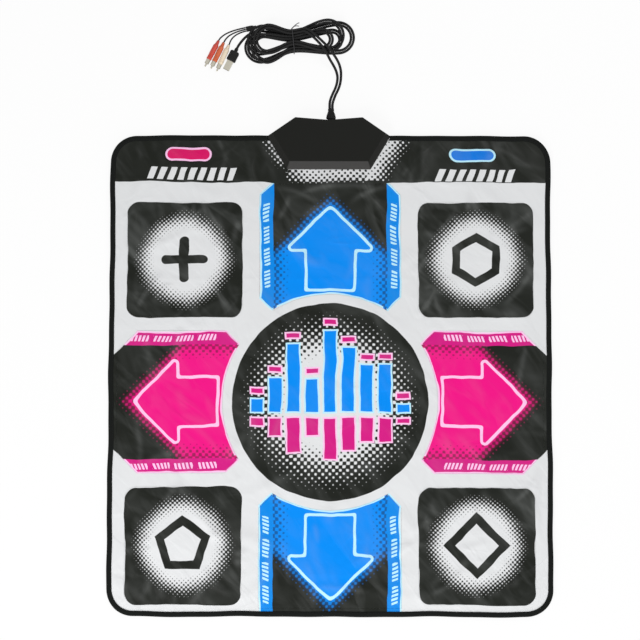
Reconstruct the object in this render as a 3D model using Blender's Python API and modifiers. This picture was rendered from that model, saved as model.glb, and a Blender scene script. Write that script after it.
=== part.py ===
"""Foldable dance mat with eight foot pads, a control box and two tied cords.

The mat lies on z = 0 with its control box towards +Y. The origin is under the
middle of the mat and box together. All sizes are in metres.
"""

from math import atan2, ceil, cos, floor, pi, radians, sin, sqrt

import bmesh
import bpy
import numpy as np
from mathutils import Matrix, Vector

# Whole mat
MAT_WIDTH = 0.820
MAT_LENGTH = 0.890
MAT_CORNER_RADIUS = 0.050
BOX_OVERHANG = 0.034
SEAT_GAP = 0.0003

# Layers, from the floor up
BOTTOM_COVER_THICKNESS = 0.0008
BASE_FOAM_THICKNESS = 0.0030
CONTACT_SHEET_THICKNESS = 0.0004
SPACER_THICKNESS = 0.0020
COVER_THICKNESS = 0.0008
CONTACT_SHEET_INSET = 0.012
BINDING_WIDTH = 0.010
BINDING_THICKNESS = 0.0008

# Printed layout, measured from the middle of the round field
LAYOUT_SHIFT = -0.052
FIELD_RADIUS = 0.199
PANEL_WIDTH = 0.262
PANEL_STRIP_WIDTH = 0.026
HEADER_DEPTH = 0.089
PAD_MARGIN = 0.006
HEADER_MARGIN = 0.003
REAR_PANEL_CHAMFER = 0.021
SIDE_PANEL_CHAMFER = 0.038
CORNER_PAD_RADIUS = 0.021
CORNER_PAD_SIDE_MARGIN = 0.033
CORNER_PAD_FRONT_MARGIN = 0.0225
CORNER_PAD_REAR_MARGIN = 0.0375
CORNER_PAD_GAP_ACROSS = 0.032
CORNER_PAD_GAP_ALONG = 0.0255
BUTTON_LENGTH = 0.088
BUTTON_WIDTH = 0.029
BUTTON_SIDE_MARGIN = 0.1455
BUTTON_FROM_REAR = 0.037
PAD_GAP = 0.0003
CONTACT_INSET = 0.006
BUTTON_CONTACT_INSET = 0.003
SPACER_HOLE_RADIUS = 0.014
SPACER_HOLE_PITCH = 0.060
BUTTON_SPACER_HOLE_RADIUS = 0.007
BUTTON_SPACER_HOLE_PITCH = 0.030

# Control box
BOX_CENTRE_X = -0.003
BOX_DEPTH = 0.098
BOX_WIDTH = 0.230
BOX_WIDEST_FROM_REAR = 0.036
BOX_REAR_WIDTH = 0.126
BOX_FRONT_WIDTH = 0.156
BOX_REAR_NOTCH = 0.005
BOX_HEIGHT = 0.026
BOX_RIM_HEIGHT = 0.0025
BOX_WALL = 0.002
BOX_FRONT_SLOPE = 0.0125
BOX_SIDE_SLOPE = 0.011
BOX_REAR_SLOPE = 0.003
BOX_EDGE_ROUNDING = 0.001
BOX_CLEARANCE = 0.0005
BOSS_RADIUS = 0.004
BOSS_HALF_SPAN = 0.050
FRONT_BOSS_FROM_FRONT = 0.028
REAR_BOSS_FROM_REAR = 0.028
BOSS_CLEARANCE = 0.0005
BOSS_ABOVE_COVER = 0.0021
SCREW_RADIUS = 0.0015
SCREW_CLEARANCE = 0.0003
SCREW_HEAD_RADIUS = 0.0028
SCREW_HEAD_HEIGHT = 0.0018
SCREW_BITE = 0.0075
SCREW_SEAT_DEPTH = 0.0024
BOARD_WIDTH = 0.114
BOARD_EDGE = 0.0065
BOARD_THICKNESS = 0.0016
CHIP_SIZE = 0.012
CHIP_THICKNESS = 0.0014
HEADER_BLOCK_SIZE = (0.012, 0.006, 0.006)
CLAMP_SIZE = (0.070, 0.008)
CLAMP_FROM_FRONT_BOSS = 0.018
WIRE_DIAMETER = 0.0024

# Strain relief
RELIEF_X = 0.001
RELIEF_LENGTH = 0.0218
RELIEF_BASE_WIDTH = 0.018
RELIEF_END_WIDTH = 0.0112
RELIEF_NECK_WIDTH = 0.012
RELIEF_FLANGE_WIDTH = 0.016
RELIEF_FLANGE_THICKNESS = 0.0022
RELIEF_FLATNESS = 0.66

# Cords
CORD_DIAMETER = 0.0046
LEAD_DIAMETER = 0.0028
CORD_REST = 0.0003
CORD_PAIR_SPACING = 0.0052
TIE_DIAMETER = 0.0015
TIE_CLEARANCE = 0.0003

# Tied hank, measured along and across its own axis
HANK_FROM_RELIEF = (-0.0715, 0.127)
HANK_TURN = radians(6)
HANK_LEFT_RUN = 0.063
HANK_RIGHT_RUN = 0.085
HANK_LEFT_RADIUS = 0.0322
HANK_RIGHT_RADIUS = 0.0296
HANK_STEP = 0.0052
HANK_LAYER = 0.0051
HANK_LOOPS = 4
HANK_STRANDS = 4
# One value for each loop: steps inwards, and how much its ends fall short and lie aside
HANK_INWARD_STEPS = (0, 2, 0, 2, 0)
HANK_LEFT_SHORTER = (0.0, 0.006, 0.012, 0.018, 0.018)
HANK_LEFT_ASIDE = (0.0, 0.004, -0.004, 0.002, 0.002)
HANK_RIGHT_SHORTER = (0.0, 0.012, 0.019, 0.030, 0.018)
HANK_RIGHT_ASIDE = (0.0, -0.004, 0.004, -0.004, 0.0)
HANK_WAIST_LIFT = 0.0018
HANK_LIFT_REACH = 0.045
HANK_POINTS_PER_LOOP = 24
HANK_FIRST_POINT = 1
HANK_LAST_POINT = 3
HANK_NUDGE = 0.01

# Plugs
PLUG_BODY_LENGTH = 0.040
PLUG_BODY_RADIUS = 0.0045
PLUG_NECK_RADIUS = 0.0026
PLUG_SLEEVE_RADIUS = 0.0041
PLUG_SLEEVE_WALL = 0.0005
PLUG_SLEEVE_LENGTH = 0.0075
PLUG_PIN_RADIUS = 0.0016
PLUG_PIN_LENGTH = 0.0140
SPLITTER_SIZE = (0.020, 0.010, 0.0052)
USB_BODY_SIZE = (0.026, 0.0175, 0.0090)
USB_NECK_LENGTH = 0.006
USB_SHELL_SIZE = (0.0185, 0.0120, 0.0045)
USB_SHELL_WALL = 0.0004
USB_TONGUE_THICKNESS = 0.0018

# Roundness
CORNER_STEPS = 6
ROUND_STEPS = 16
HOLE_STEPS = 10
ROUTE_STEPS = 24

# Values that follow from the sizes above
HALF_LENGTH = (MAT_LENGTH + BOX_OVERHANG) / 2
BOX_REAR_Y = HALF_LENGTH
MAT_REAR_Y = HALF_LENGTH - BOX_OVERHANG
MAT_FRONT_Y = -HALF_LENGTH
MAT_CENTRE_Y = (MAT_REAR_Y + MAT_FRONT_Y) / 2
LAYOUT_Y = MAT_CENTRE_Y + LAYOUT_SHIFT
BASE_FOAM_Z = BOTTOM_COVER_THICKNESS + SEAT_GAP
LOWER_CONTACT_Z = BASE_FOAM_Z + BASE_FOAM_THICKNESS + SEAT_GAP
SPACER_Z = LOWER_CONTACT_Z + CONTACT_SHEET_THICKNESS + SEAT_GAP
UPPER_CONTACT_Z = SPACER_Z + SPACER_THICKNESS + SEAT_GAP
COVER_Z = UPPER_CONTACT_Z + CONTACT_SHEET_THICKNESS + SEAT_GAP
COVER_TOP = COVER_Z + COVER_THICKNESS
BINDING_HEIGHT = COVER_TOP + SEAT_GAP + BINDING_THICKNESS
BOX_FRONT_Y = BOX_REAR_Y - BOX_DEPTH
PARTING_Z = COVER_TOP + SEAT_GAP
FRONT_BOSS_Y = BOX_FRONT_Y + FRONT_BOSS_FROM_FRONT
REAR_BOSS_Y = BOX_REAR_Y - REAR_BOSS_FROM_REAR
BOSS_TOP = COVER_TOP + BOSS_ABOVE_COVER
BOARD_Z = BOSS_TOP + SEAT_GAP
BOARD_TOP = BOARD_Z + BOARD_THICKNESS
UPPER_BOSS_Z = BOARD_TOP + SEAT_GAP
NOTCH_Y = BOX_REAR_Y - BOX_REAR_NOTCH
RELIEF_Z = PARTING_Z - SEAT_GAP / 2
RELIEF_END_Y = BOX_REAR_Y + RELIEF_LENGTH - BOX_REAR_NOTCH + SEAT_GAP
CORD_FLOOR_Z = CORD_DIAMETER / 2 + CORD_REST
PLUG_AXIS_Z = PLUG_BODY_RADIUS + CORD_REST

PARTS = bpy.data.collections.new("dance_mat_controller")
CUTTERS = bpy.data.collections.new("cutters")


def clear_scene():
    """Empty the scene and link the two collections."""
    for obj in list(bpy.data.objects):
        bpy.data.objects.remove(obj, do_unlink=True)
    bpy.context.scene.collection.children.link(PARTS)
    bpy.context.scene.collection.children.link(CUTTERS)


def material(name, colour, roughness, metallic=0.0):
    """Principled material, made once for each name."""
    found = bpy.data.materials.get(name)
    if found:
        return found
    made = bpy.data.materials.new(name)
    made.use_nodes = True
    shader = made.node_tree.nodes["Principled BSDF"]
    shader.inputs["Base Color"].default_value = (*colour, 1)
    shader.inputs["Roughness"].default_value = roughness
    shader.inputs["Metallic"].default_value = metallic
    made.diffuse_color = (*colour, 1)
    return made


WHITE_VINYL = material("white_vinyl", (0.78, 0.79, 0.81), 0.35)
BLACK_VINYL = material("black_vinyl", (0.019, 0.021, 0.018), 0.32)
BLUE_VINYL = material("blue_vinyl", (0.0, 0.26, 0.95), 0.32)
PINK_VINYL = material("pink_vinyl", (1.0, 0.012, 0.296), 0.32)
BLACK_BINDING = material("black_binding", (0.006, 0.008, 0.007), 0.7)
GREY_CLOTH = material("grey_cloth", (0.05, 0.05, 0.055), 0.85)
PALE_FOAM = material("pale_foam", (0.72, 0.72, 0.70), 0.9)
CLEAR_FILM = material("clear_film", (0.62, 0.64, 0.62), 0.3)
BOX_PLASTIC = material("box_plastic", (0.016, 0.016, 0.015), 0.5)
BOARD_GREEN = material("board_green", (0.02, 0.12, 0.04), 0.5)
CHIP_BLACK = material("chip_black", (0.01, 0.01, 0.01), 0.45)
HEADER_WHITE = material("header_white", (0.75, 0.73, 0.66), 0.5)
GREY_RUBBER = material("grey_rubber", (0.10, 0.10, 0.10), 0.8)
SCREW_STEEL = material("screw_steel", (0.45, 0.45, 0.46), 0.35, 1.0)
CORD_BLACK = material("cord_black", (0.014, 0.014, 0.014), 0.45)
PLUG_RED = material("plug_red", (0.60, 0.07, 0.045), 0.4)
PLUG_YELLOW = material("plug_yellow", (0.85, 0.50, 0.08), 0.4)
PLUG_CREAM = material("plug_cream", (0.85, 0.72, 0.55), 0.4)
PLUG_METAL = material("plug_metal", (0.72, 0.70, 0.64), 0.25, 1.0)


def add_object(name, data, paint, collection=PARTS):
    """New object from mesh or curve data, with its material."""
    obj = bpy.data.objects.new(name, data)
    if paint:
        data.materials.append(paint)
    collection.objects.link(obj)
    if collection is CUTTERS:
        obj.hide_render = True
        obj.display_type = "WIRE"
    return obj


def as_mesh(obj):
    """Turn a curve or modified object into a plain welded mesh in its own place."""
    bpy.context.view_layer.update()
    evaluated = obj.evaluated_get(bpy.context.evaluated_depsgraph_get())
    mesh = bpy.data.meshes.new_from_object(evaluated)
    work = bmesh.new()
    work.from_mesh(mesh)
    bmesh.ops.remove_doubles(work, verts=work.verts, dist=0.000001)
    work.to_mesh(mesh)
    work.free()
    name = obj.name
    collection = obj.users_collection[0]
    place = obj.matrix_world.copy()
    hidden = obj.hide_render
    bpy.data.objects.remove(obj, do_unlink=True)
    made = bpy.data.objects.new(name, mesh)
    made.matrix_world = place
    made.hide_render = hidden
    if hidden:
        made.display_type = "WIRE"
    collection.objects.link(made)
    return made


def combine(obj, tool, operation="DIFFERENCE"):
    """Cut or join an object with a tool object."""
    modifier = obj.modifiers.new(tool.name, "BOOLEAN")
    modifier.operation = operation
    modifier.solver = "EXACT"
    modifier.object = tool


def slab(name, outlines, bottom, thickness, paint, centre=(0, 0), collection=PARTS):
    """Flat piece from outlines about its centre: the first is its edge, the rest are holes."""
    curve = bpy.data.curves.new(name, "CURVE")
    curve.dimensions = "2D"
    curve.fill_mode = "BOTH"
    curve.extrude = thickness / 2
    for outline in outlines:
        spline = curve.splines.new("POLY")
        spline.points.add(len(outline) - 1)
        for point, (across, along) in zip(spline.points, outline):
            point.co = (across, along, 0, 1)
        spline.use_cyclic_u = True
    obj = add_object(name, curve, paint, collection)
    obj.location = (*centre, bottom + thickness / 2)
    return obj


def cylinders(name, places, radius, bottom, top, steps=ROUND_STEPS):
    """Upright cylinders of one size, as a cutter or joining tool."""
    work = bmesh.new()
    for across, along in places:
        middle = Matrix.Translation((across, along, (bottom + top) / 2))
        bmesh.ops.create_cone(
            work, cap_ends=True, segments=steps, radius1=radius, radius2=radius,
            depth=top - bottom, matrix=middle,
        )
    mesh = bpy.data.meshes.new(name)
    work.to_mesh(mesh)
    work.free()
    return add_object(name, mesh, None, CUTTERS)


def block(name, size, middle, paint, turn=0.0, rounding=0.0, collection=PARTS):
    """Box of a given size about its middle, turned about Z."""
    work = bmesh.new()
    bmesh.ops.create_cube(work, size=1, matrix=Matrix.Diagonal((*size, 1)))
    mesh = bpy.data.meshes.new(name)
    work.to_mesh(mesh)
    work.free()
    obj = add_object(name, mesh, paint, collection)
    obj.location = middle
    obj.rotation_euler.z = turn
    if rounding:
        bevel = obj.modifiers.new("rounding", "BEVEL")
        bevel.width = rounding
        bevel.segments = 2
    return obj


def turned(name, profile, paint, steps=ROUND_STEPS):
    """Turned piece about Z from a profile of radius and height, outer side top to bottom."""
    mesh = bpy.data.meshes.new(name)
    points = [(radius, 0, height) for radius, height in profile]
    mesh.from_pydata(points, [(i, i + 1) for i in range(len(points) - 1)], [])
    obj = add_object(name, mesh, paint)
    screw = obj.modifiers.new("turning", "SCREW")
    screw.axis = "Z"
    screw.angle = 2 * pi
    screw.steps = steps
    screw.render_steps = steps
    screw.use_merge_vertices = True
    screw.merge_threshold = 0.00001
    screw.use_smooth_shade = True
    return obj


def lay_along(obj, start, direction):
    """Place a piece built along +Z so that it starts at a point and runs in a direction."""
    heading = Vector(direction).normalized()
    obj.rotation_euler = heading.to_track_quat("Z", "Y").to_euler()
    obj.location = start


def tube(name, points, diameter, detail, paint):
    """Round tube along points."""
    curve = bpy.data.curves.new(name, "CURVE")
    curve.dimensions = "3D"
    curve.bevel_depth = diameter / 2
    curve.bevel_resolution = detail
    curve.use_fill_caps = True
    spline = curve.splines.new("POLY")
    spline.points.add(len(points) - 1)
    for spot, point in zip(spline.points, points):
        spot.co = (*point, 1)
    return add_object(name, curve, paint)


def circle(radius, centre=(0, 0), steps=HOLE_STEPS):
    """Points round a circle."""
    return [
        (centre[0] + radius * cos(2 * pi * i / steps), centre[1] + radius * sin(2 * pi * i / steps))
        for i in range(steps)
    ]


def rounded_rectangle(width, length, radius, centre=(0, 0), steps=CORNER_STEPS):
    """Points round a rectangle with round corners."""
    points = []
    corners = ((1, -1, -90), (1, 1, 0), (-1, 1, 90), (-1, -1, 180))
    for side, end, first in corners:
        middle_x = centre[0] + side * (width / 2 - radius)
        middle_y = centre[1] + end * (length / 2 - radius)
        for step in range(steps + 1):
            angle = radians(first + 90 * step / steps)
            points.append((middle_x + radius * cos(angle), middle_y + radius * sin(angle)))
    return points


def mat_outline(inset):
    """Edge of the mat, moved in by an inset."""
    return rounded_rectangle(
        MAT_WIDTH - 2 * inset, MAT_LENGTH - 2 * inset, MAT_CORNER_RADIUS - inset,
        (0, MAT_CENTRE_Y),
    )


def button_outline(grow):
    """Edge of a capsule key, moved out by grow."""
    width = BUTTON_WIDTH + 2 * grow
    return rounded_rectangle(BUTTON_LENGTH + 2 * grow, width, width / 2 - 0.00001)


def panel_outline(reach, chamfer, grow):
    """Edge of an arrow pad that runs from the round field outwards along +Y."""
    half = PANEL_WIDTH / 2 + grow
    outer = reach + grow
    arc = FIELD_RADIUS - grow
    tip_at_rest = PANEL_WIDTH / 2 - PANEL_STRIP_WIDTH
    slant = tip_at_rest - sqrt(FIELD_RADIUS**2 - tip_at_rest**2) + grow * sqrt(2)
    tip_along = (sqrt(2 * arc**2 - slant**2) - slant) / 2
    tip_across = tip_along + slant
    shoulder = tip_along + half - tip_across
    right = [(tip_across, tip_along), (half, shoulder)]
    if chamfer:
        corner = chamfer + grow * (2 - sqrt(2))
        right += [(half, outer - corner), (half - corner, outer)]
    else:
        right += [(half, outer)]
    left = [(-across, along) for across, along in reversed(right)]
    spread = atan2(tip_across, tip_along)
    bow = [
        (arc * sin(-spread + 2 * spread * step / ROUND_STEPS),
         arc * cos(-spread + 2 * spread * step / ROUND_STEPS))
        for step in range(1, ROUND_STEPS)
    ]
    return right + left + bow


def quarter_turned(points, quarters):
    """Points turned about the middle by a number of right angles, anticlockwise."""
    for _ in range(quarters % 4):
        points = [(-along, across) for across, along in points]
    return points


def moved(points, shift):
    """Points moved by a shift."""
    return [(across + shift[0], along + shift[1]) for across, along in points]


def hole_rows(columns, rows, pitch_across, pitch_along, centre=(0, 0)):
    """Places of spacer holes in a grid about a centre."""
    return [
        (centre[0] + (column - (columns - 1) / 2) * pitch_across,
         centre[1] + (row - (rows - 1) / 2) * pitch_along)
        for column in range(columns)
        for row in range(rows)
    ]


class Pad:
    """A pad of the cover: its name, middle, outline, contact inset and spacer holes."""

    def __init__(self, name, centre, outline, inset, holes, hole_radius, paint):
        self.name = name
        self.centre = centre
        self.outline = outline
        self.inset = inset
        self.holes = holes
        self.hole_radius = hole_radius
        self.paint = paint

    def placed(self, grow):
        """Outline in the mat's own place."""
        return moved(self.outline(grow), self.centre)


def arrow_pad(name, quarters, reach, chamfer, paint):
    """Arrow pad turned to its side of the round field."""
    middle = (FIELD_RADIUS + reach) / 2
    centre = quarter_turned([(0, middle)], quarters)[0]

    def outline(grow):
        shape = moved(panel_outline(reach, chamfer, grow), (0, -middle))
        return quarter_turned(shape, quarters)

    holes = quarter_turned(
        hole_rows(3, 2, SPACER_HOLE_PITCH, SPACER_HOLE_PITCH), quarters
    )
    place = (centre[0], centre[1] + LAYOUT_Y)
    return Pad(name, place, outline, CONTACT_INSET, holes, SPACER_HOLE_RADIUS, paint)


def corner_pad(end, side):
    """Square pad between two arrow pads and the margins of one corner of the print."""
    inner = PANEL_WIDTH / 2 + CORNER_PAD_GAP_ACROSS
    width = MAT_WIDTH / 2 - CORNER_PAD_SIDE_MARGIN - inner
    near = PANEL_WIDTH / 2 + CORNER_PAD_GAP_ALONG
    if end > 0:
        length = MAT_REAR_Y - HEADER_DEPTH - CORNER_PAD_REAR_MARGIN - LAYOUT_Y - near
    else:
        length = LAYOUT_Y - MAT_FRONT_Y - CORNER_PAD_FRONT_MARGIN - near

    def outline(grow):
        return rounded_rectangle(
            width + 2 * grow, length + 2 * grow, CORNER_PAD_RADIUS + grow
        )

    name = f"{'rear' if end > 0 else 'front'}_{'right' if side > 0 else 'left'}_pad"
    place = (side * (inner + width / 2), LAYOUT_Y + end * (near + length / 2))
    holes = hole_rows(3, 3, SPACER_HOLE_PITCH, SPACER_HOLE_PITCH)
    return Pad(name, place, outline, CONTACT_INSET, holes, SPACER_HOLE_RADIUS, BLACK_VINYL)


def all_pads():
    """Every pad and key of the printed cover."""
    side_reach = MAT_WIDTH / 2 - BINDING_WIDTH - PAD_MARGIN
    rear_reach = MAT_REAR_Y - HEADER_DEPTH - LAYOUT_Y - HEADER_MARGIN
    front_reach = LAYOUT_Y - MAT_FRONT_Y - BINDING_WIDTH - PAD_MARGIN
    pads = [
        arrow_pad("up_pad", 0, rear_reach, REAR_PANEL_CHAMFER, BLUE_VINYL),
        arrow_pad("left_pad", 1, side_reach, SIDE_PANEL_CHAMFER, PINK_VINYL),
        arrow_pad("down_pad", 2, front_reach, 0, BLUE_VINYL),
        arrow_pad("right_pad", 3, side_reach, SIDE_PANEL_CHAMFER, PINK_VINYL),
    ]
    for end, side in ((1, -1), (1, 1), (-1, -1), (-1, 1)):
        pads.append(corner_pad(end, side))
    buttons = ((-1, "select_button", PINK_VINYL), (1, "start_button", BLUE_VINYL))
    for side, name, paint in buttons:
        centre = (side * (MAT_WIDTH / 2 - BUTTON_SIDE_MARGIN), MAT_REAR_Y - BUTTON_FROM_REAR)
        holes = hole_rows(2, 1, BUTTON_SPACER_HOLE_PITCH, 0)
        pads.append(Pad(
            name, centre, button_outline, BUTTON_CONTACT_INSET, holes,
            BUTTON_SPACER_HOLE_RADIUS, paint,
        ))
    return pads


def front_boss_places():
    """Middles of the two bosses that pass through the layers."""
    return [(BOX_CENTRE_X + side * BOSS_HALF_SPAN, FRONT_BOSS_Y) for side in (-1, 1)]


def boss_places():
    """Middles of the four case bosses."""
    rear = [(BOX_CENTRE_X + side * BOSS_HALF_SPAN, REAR_BOSS_Y) for side in (-1, 1)]
    return front_boss_places() + rear


def boss_holes():
    """Outlines of the layers' holes round the front bosses."""
    radius = BOSS_RADIUS + BOSS_CLEARANCE
    return [circle(radius, place, ROUND_STEPS) for place in front_boss_places()]


def clamp_middle():
    """Middle of the rubber strip that presses the films' tracks on the board."""
    return (BOX_CENTRE_X, FRONT_BOSS_Y + CLAMP_FROM_FRONT_BOSS)


def box_outline(insets):
    """Outline of the control box, each of its sides moved in by its own inset."""
    front, side, rear = insets
    widest_y = BOX_REAR_Y - BOX_WIDEST_FROM_REAR
    corners = [
        (-BOX_FRONT_WIDTH / 2, BOX_FRONT_Y),
        (BOX_FRONT_WIDTH / 2, BOX_FRONT_Y),
        (BOX_WIDTH / 2, widest_y),
        (BOX_REAR_WIDTH / 2, BOX_REAR_Y),
        (0, BOX_REAR_Y - BOX_REAR_NOTCH),
        (-BOX_REAR_WIDTH / 2, BOX_REAR_Y),
        (-BOX_WIDTH / 2, widest_y),
    ]
    side_insets = [front, side, rear, rear, rear, rear, side]
    lines = []
    for i, inset in enumerate(side_insets):
        start = Vector(corners[i])
        heading = (Vector(corners[(i + 1) % len(corners)]) - start).normalized()
        inward = Vector((-heading.y, heading.x))
        lines.append((start + inward * inset, heading))
    points = []
    for i in range(len(corners)):
        (base, along), (other, other_along) = lines[i - 1], lines[i]
        cross = along.x * other_along.y - along.y * other_along.x
        gap = other - base
        reach = (gap.x * other_along.y - gap.y * other_along.x) / cross
        spot = base + along * reach
        points.append((spot.x + BOX_CENTRE_X, spot.y))
    return points


def lofted_cup(name, rings, wall, rounding, paint):
    """Open cup through rings of points, closed at the last ring and walled inwards."""
    work = bmesh.new()
    rows = [[work.verts.new((x, y, height)) for x, y in outline] for outline, height in rings]
    for lower, upper in zip(rows, rows[1:]):
        for i in range(len(lower)):
            work.faces.new((lower[i - 1], lower[i], upper[i], upper[i - 1]))
    work.faces.new(rows[-1])
    bmesh.ops.recalc_face_normals(work, faces=work.faces)
    mesh = bpy.data.meshes.new(name)
    work.to_mesh(mesh)
    work.free()
    obj = add_object(name, mesh, paint)
    if rounding:
        bevel = obj.modifiers.new("rounding", "BEVEL")
        bevel.width = rounding
        bevel.segments = 2
        bevel.limit_method = "ANGLE"
        bevel.angle_limit = radians(20)
    walls = obj.modifiers.new("walls", "SOLIDIFY")
    walls.thickness = wall
    walls.offset = -1
    walls.use_even_offset = True
    return obj


def build_layers(pads):
    """The mat's sheets, foams and binding."""
    notch = slab(
        "box_notch", [box_outline([-BOX_CLEARANCE] * 3)], -BOX_HEIGHT, 3 * BOX_HEIGHT,
        None, collection=CUTTERS,
    )
    notch = as_mesh(notch)
    bottom = slab(
        "bottom_cover", [mat_outline(BINDING_WIDTH + SEAT_GAP)], 0, BOTTOM_COVER_THICKNESS,
        GREY_CLOTH,
    )
    inside_binding = BINDING_THICKNESS + SEAT_GAP
    foam = slab(
        "base_foam", [mat_outline(inside_binding)], BASE_FOAM_Z, BASE_FOAM_THICKNESS, PALE_FOAM
    )
    for piece in (bottom, foam):
        combine(as_mesh(piece), notch)
    film_outline = mat_outline(CONTACT_SHEET_INSET)
    slab(
        "lower_contact_sheet", [film_outline, *boss_holes()], LOWER_CONTACT_Z,
        CONTACT_SHEET_THICKNESS, CLEAR_FILM,
    )
    spacer_holes = [
        circle(pad.hole_radius, (pad.centre[0] + across, pad.centre[1] + along))
        for pad in pads
        for across, along in pad.holes
    ]
    slab(
        "spacer_foam", [film_outline, *boss_holes(), *spacer_holes], SPACER_Z,
        SPACER_THICKNESS, PALE_FOAM,
    )
    pad_windows = [pad.placed(PAD_GAP) for pad in pads]
    slab(
        "upper_contact_sheet", [film_outline, *boss_holes(), *pad_windows],
        UPPER_CONTACT_Z, CONTACT_SHEET_THICKNESS, CLEAR_FILM,
    )
    clamp_window = rounded_rectangle(
        CLAMP_SIZE[0] + 2 * BOSS_CLEARANCE, CLAMP_SIZE[1] + 2 * BOSS_CLEARANCE,
        BOSS_CLEARANCE, clamp_middle(), 1,
    )
    slab(
        "top_cover",
        [mat_outline(inside_binding), *boss_holes(), clamp_window, *pad_windows],
        COVER_Z, COVER_THICKNESS, WHITE_VINYL,
    )
    build_binding(notch)


def build_binding(notch):
    """Folded strip round the edge, with a leaf above and below the layers."""
    binding = as_mesh(slab(
        "edge_binding", [mat_outline(0), mat_outline(BINDING_WIDTH)], 0, BINDING_HEIGHT,
        BLACK_BINDING,
    ))
    fold = as_mesh(slab(
        "binding_fold",
        [mat_outline(BINDING_THICKNESS), mat_outline(2 * BINDING_WIDTH)],
        BINDING_THICKNESS, BINDING_HEIGHT - 2 * BINDING_THICKNESS, None, collection=CUTTERS,
    ))
    combine(binding, fold)
    combine(binding, notch)


def build_pads(pads):
    """Each pad's cover and contact film, held by an empty on its joint axis."""
    for pad in pads:
        axis = bpy.data.objects.new(f"{pad.name}_axis", None)
        axis.location = (*pad.centre, COVER_Z)
        PARTS.objects.link(axis)
        cover = slab(pad.name, [pad.outline(0)], 0, COVER_THICKNESS, pad.paint)
        film = slab(
            f"{pad.name}_contact", [pad.outline(-pad.inset)], UPPER_CONTACT_Z - COVER_Z,
            CONTACT_SHEET_THICKNESS, CLEAR_FILM,
        )
        cover.parent = axis
        film.parent = axis


def build_box():
    """Both box shells, with bosses, screw holes and the strain relief's notch."""
    bore = SCREW_RADIUS + SCREW_CLEARANCE
    bosses = boss_places()
    relief_hole = relief_cutter()
    outline = box_outline([0] * 3)
    lower = lofted_cup(
        "box_bottom_shell", [(outline, COVER_TOP), (outline, 0)], BOX_WALL, 0, BOX_PLASTIC
    )
    step = block(
        "layer_step",
        (2 * BOX_WIDTH, 2 * BOX_DEPTH, BOX_HEIGHT),
        (BOX_CENTRE_X, MAT_REAR_Y + SEAT_GAP - BOX_DEPTH,
         LOWER_CONTACT_Z - SEAT_GAP + BOX_HEIGHT / 2),
        None, collection=CUTTERS,
    )
    combine(lower, step)
    lower_bosses = cylinders("lower_bosses", bosses, BOSS_RADIUS, BOX_WALL / 2, BOSS_TOP)
    combine(lower, lower_bosses, "UNION")
    combine(lower, cylinders("lower_bores", bosses, bore, -BOX_WALL, 2 * BOSS_TOP))
    head_bore = SCREW_HEAD_RADIUS + SCREW_CLEARANCE
    combine(lower, cylinders("head_seats", bosses, head_bore, -BOX_WALL, SCREW_SEAT_DEPTH))
    combine(lower, relief_hole)

    rim_top = PARTING_Z + BOX_RIM_HEIGHT
    roof = box_outline([BOX_FRONT_SLOPE, BOX_SIDE_SLOPE, BOX_REAR_SLOPE])
    upper = lofted_cup(
        "box_top_shell", [(outline, PARTING_Z), (outline, rim_top), (roof, BOX_HEIGHT)],
        BOX_WALL, BOX_EDGE_ROUNDING, BOX_PLASTIC,
    )
    roof_middle = BOX_HEIGHT - BOX_WALL / 2
    upper_bosses = cylinders("upper_bosses", bosses, BOSS_RADIUS, UPPER_BOSS_Z, roof_middle)
    combine(upper, upper_bosses, "UNION")
    bore_top = UPPER_BOSS_Z + SCREW_BITE + SCREW_CLEARANCE
    combine(upper, cylinders("upper_bores", bosses, bore, BOSS_TOP, bore_top))
    combine(upper, relief_hole)


def relief_cutter():
    """Flat oval hole through the rear wall for the strain relief's neck."""
    width = RELIEF_NECK_WIDTH + 2 * SEAT_GAP
    height = RELIEF_NECK_WIDTH * RELIEF_FLATNESS + 2 * SEAT_GAP
    work = bmesh.new()
    bmesh.ops.create_cone(
        work, cap_ends=True, segments=2 * ROUND_STEPS, radius1=0.5, radius2=0.5,
        depth=6 * BOX_WALL,
    )
    mesh = bpy.data.meshes.new("relief_hole")
    work.to_mesh(mesh)
    work.free()
    cutter = add_object("relief_hole", mesh, None, CUTTERS)
    cutter.scale = (width, height, 1)
    cutter.rotation_euler.x = pi / 2
    cutter.location = (RELIEF_X, NOTCH_Y - BOX_WALL / 2, RELIEF_Z)
    return cutter


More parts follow.
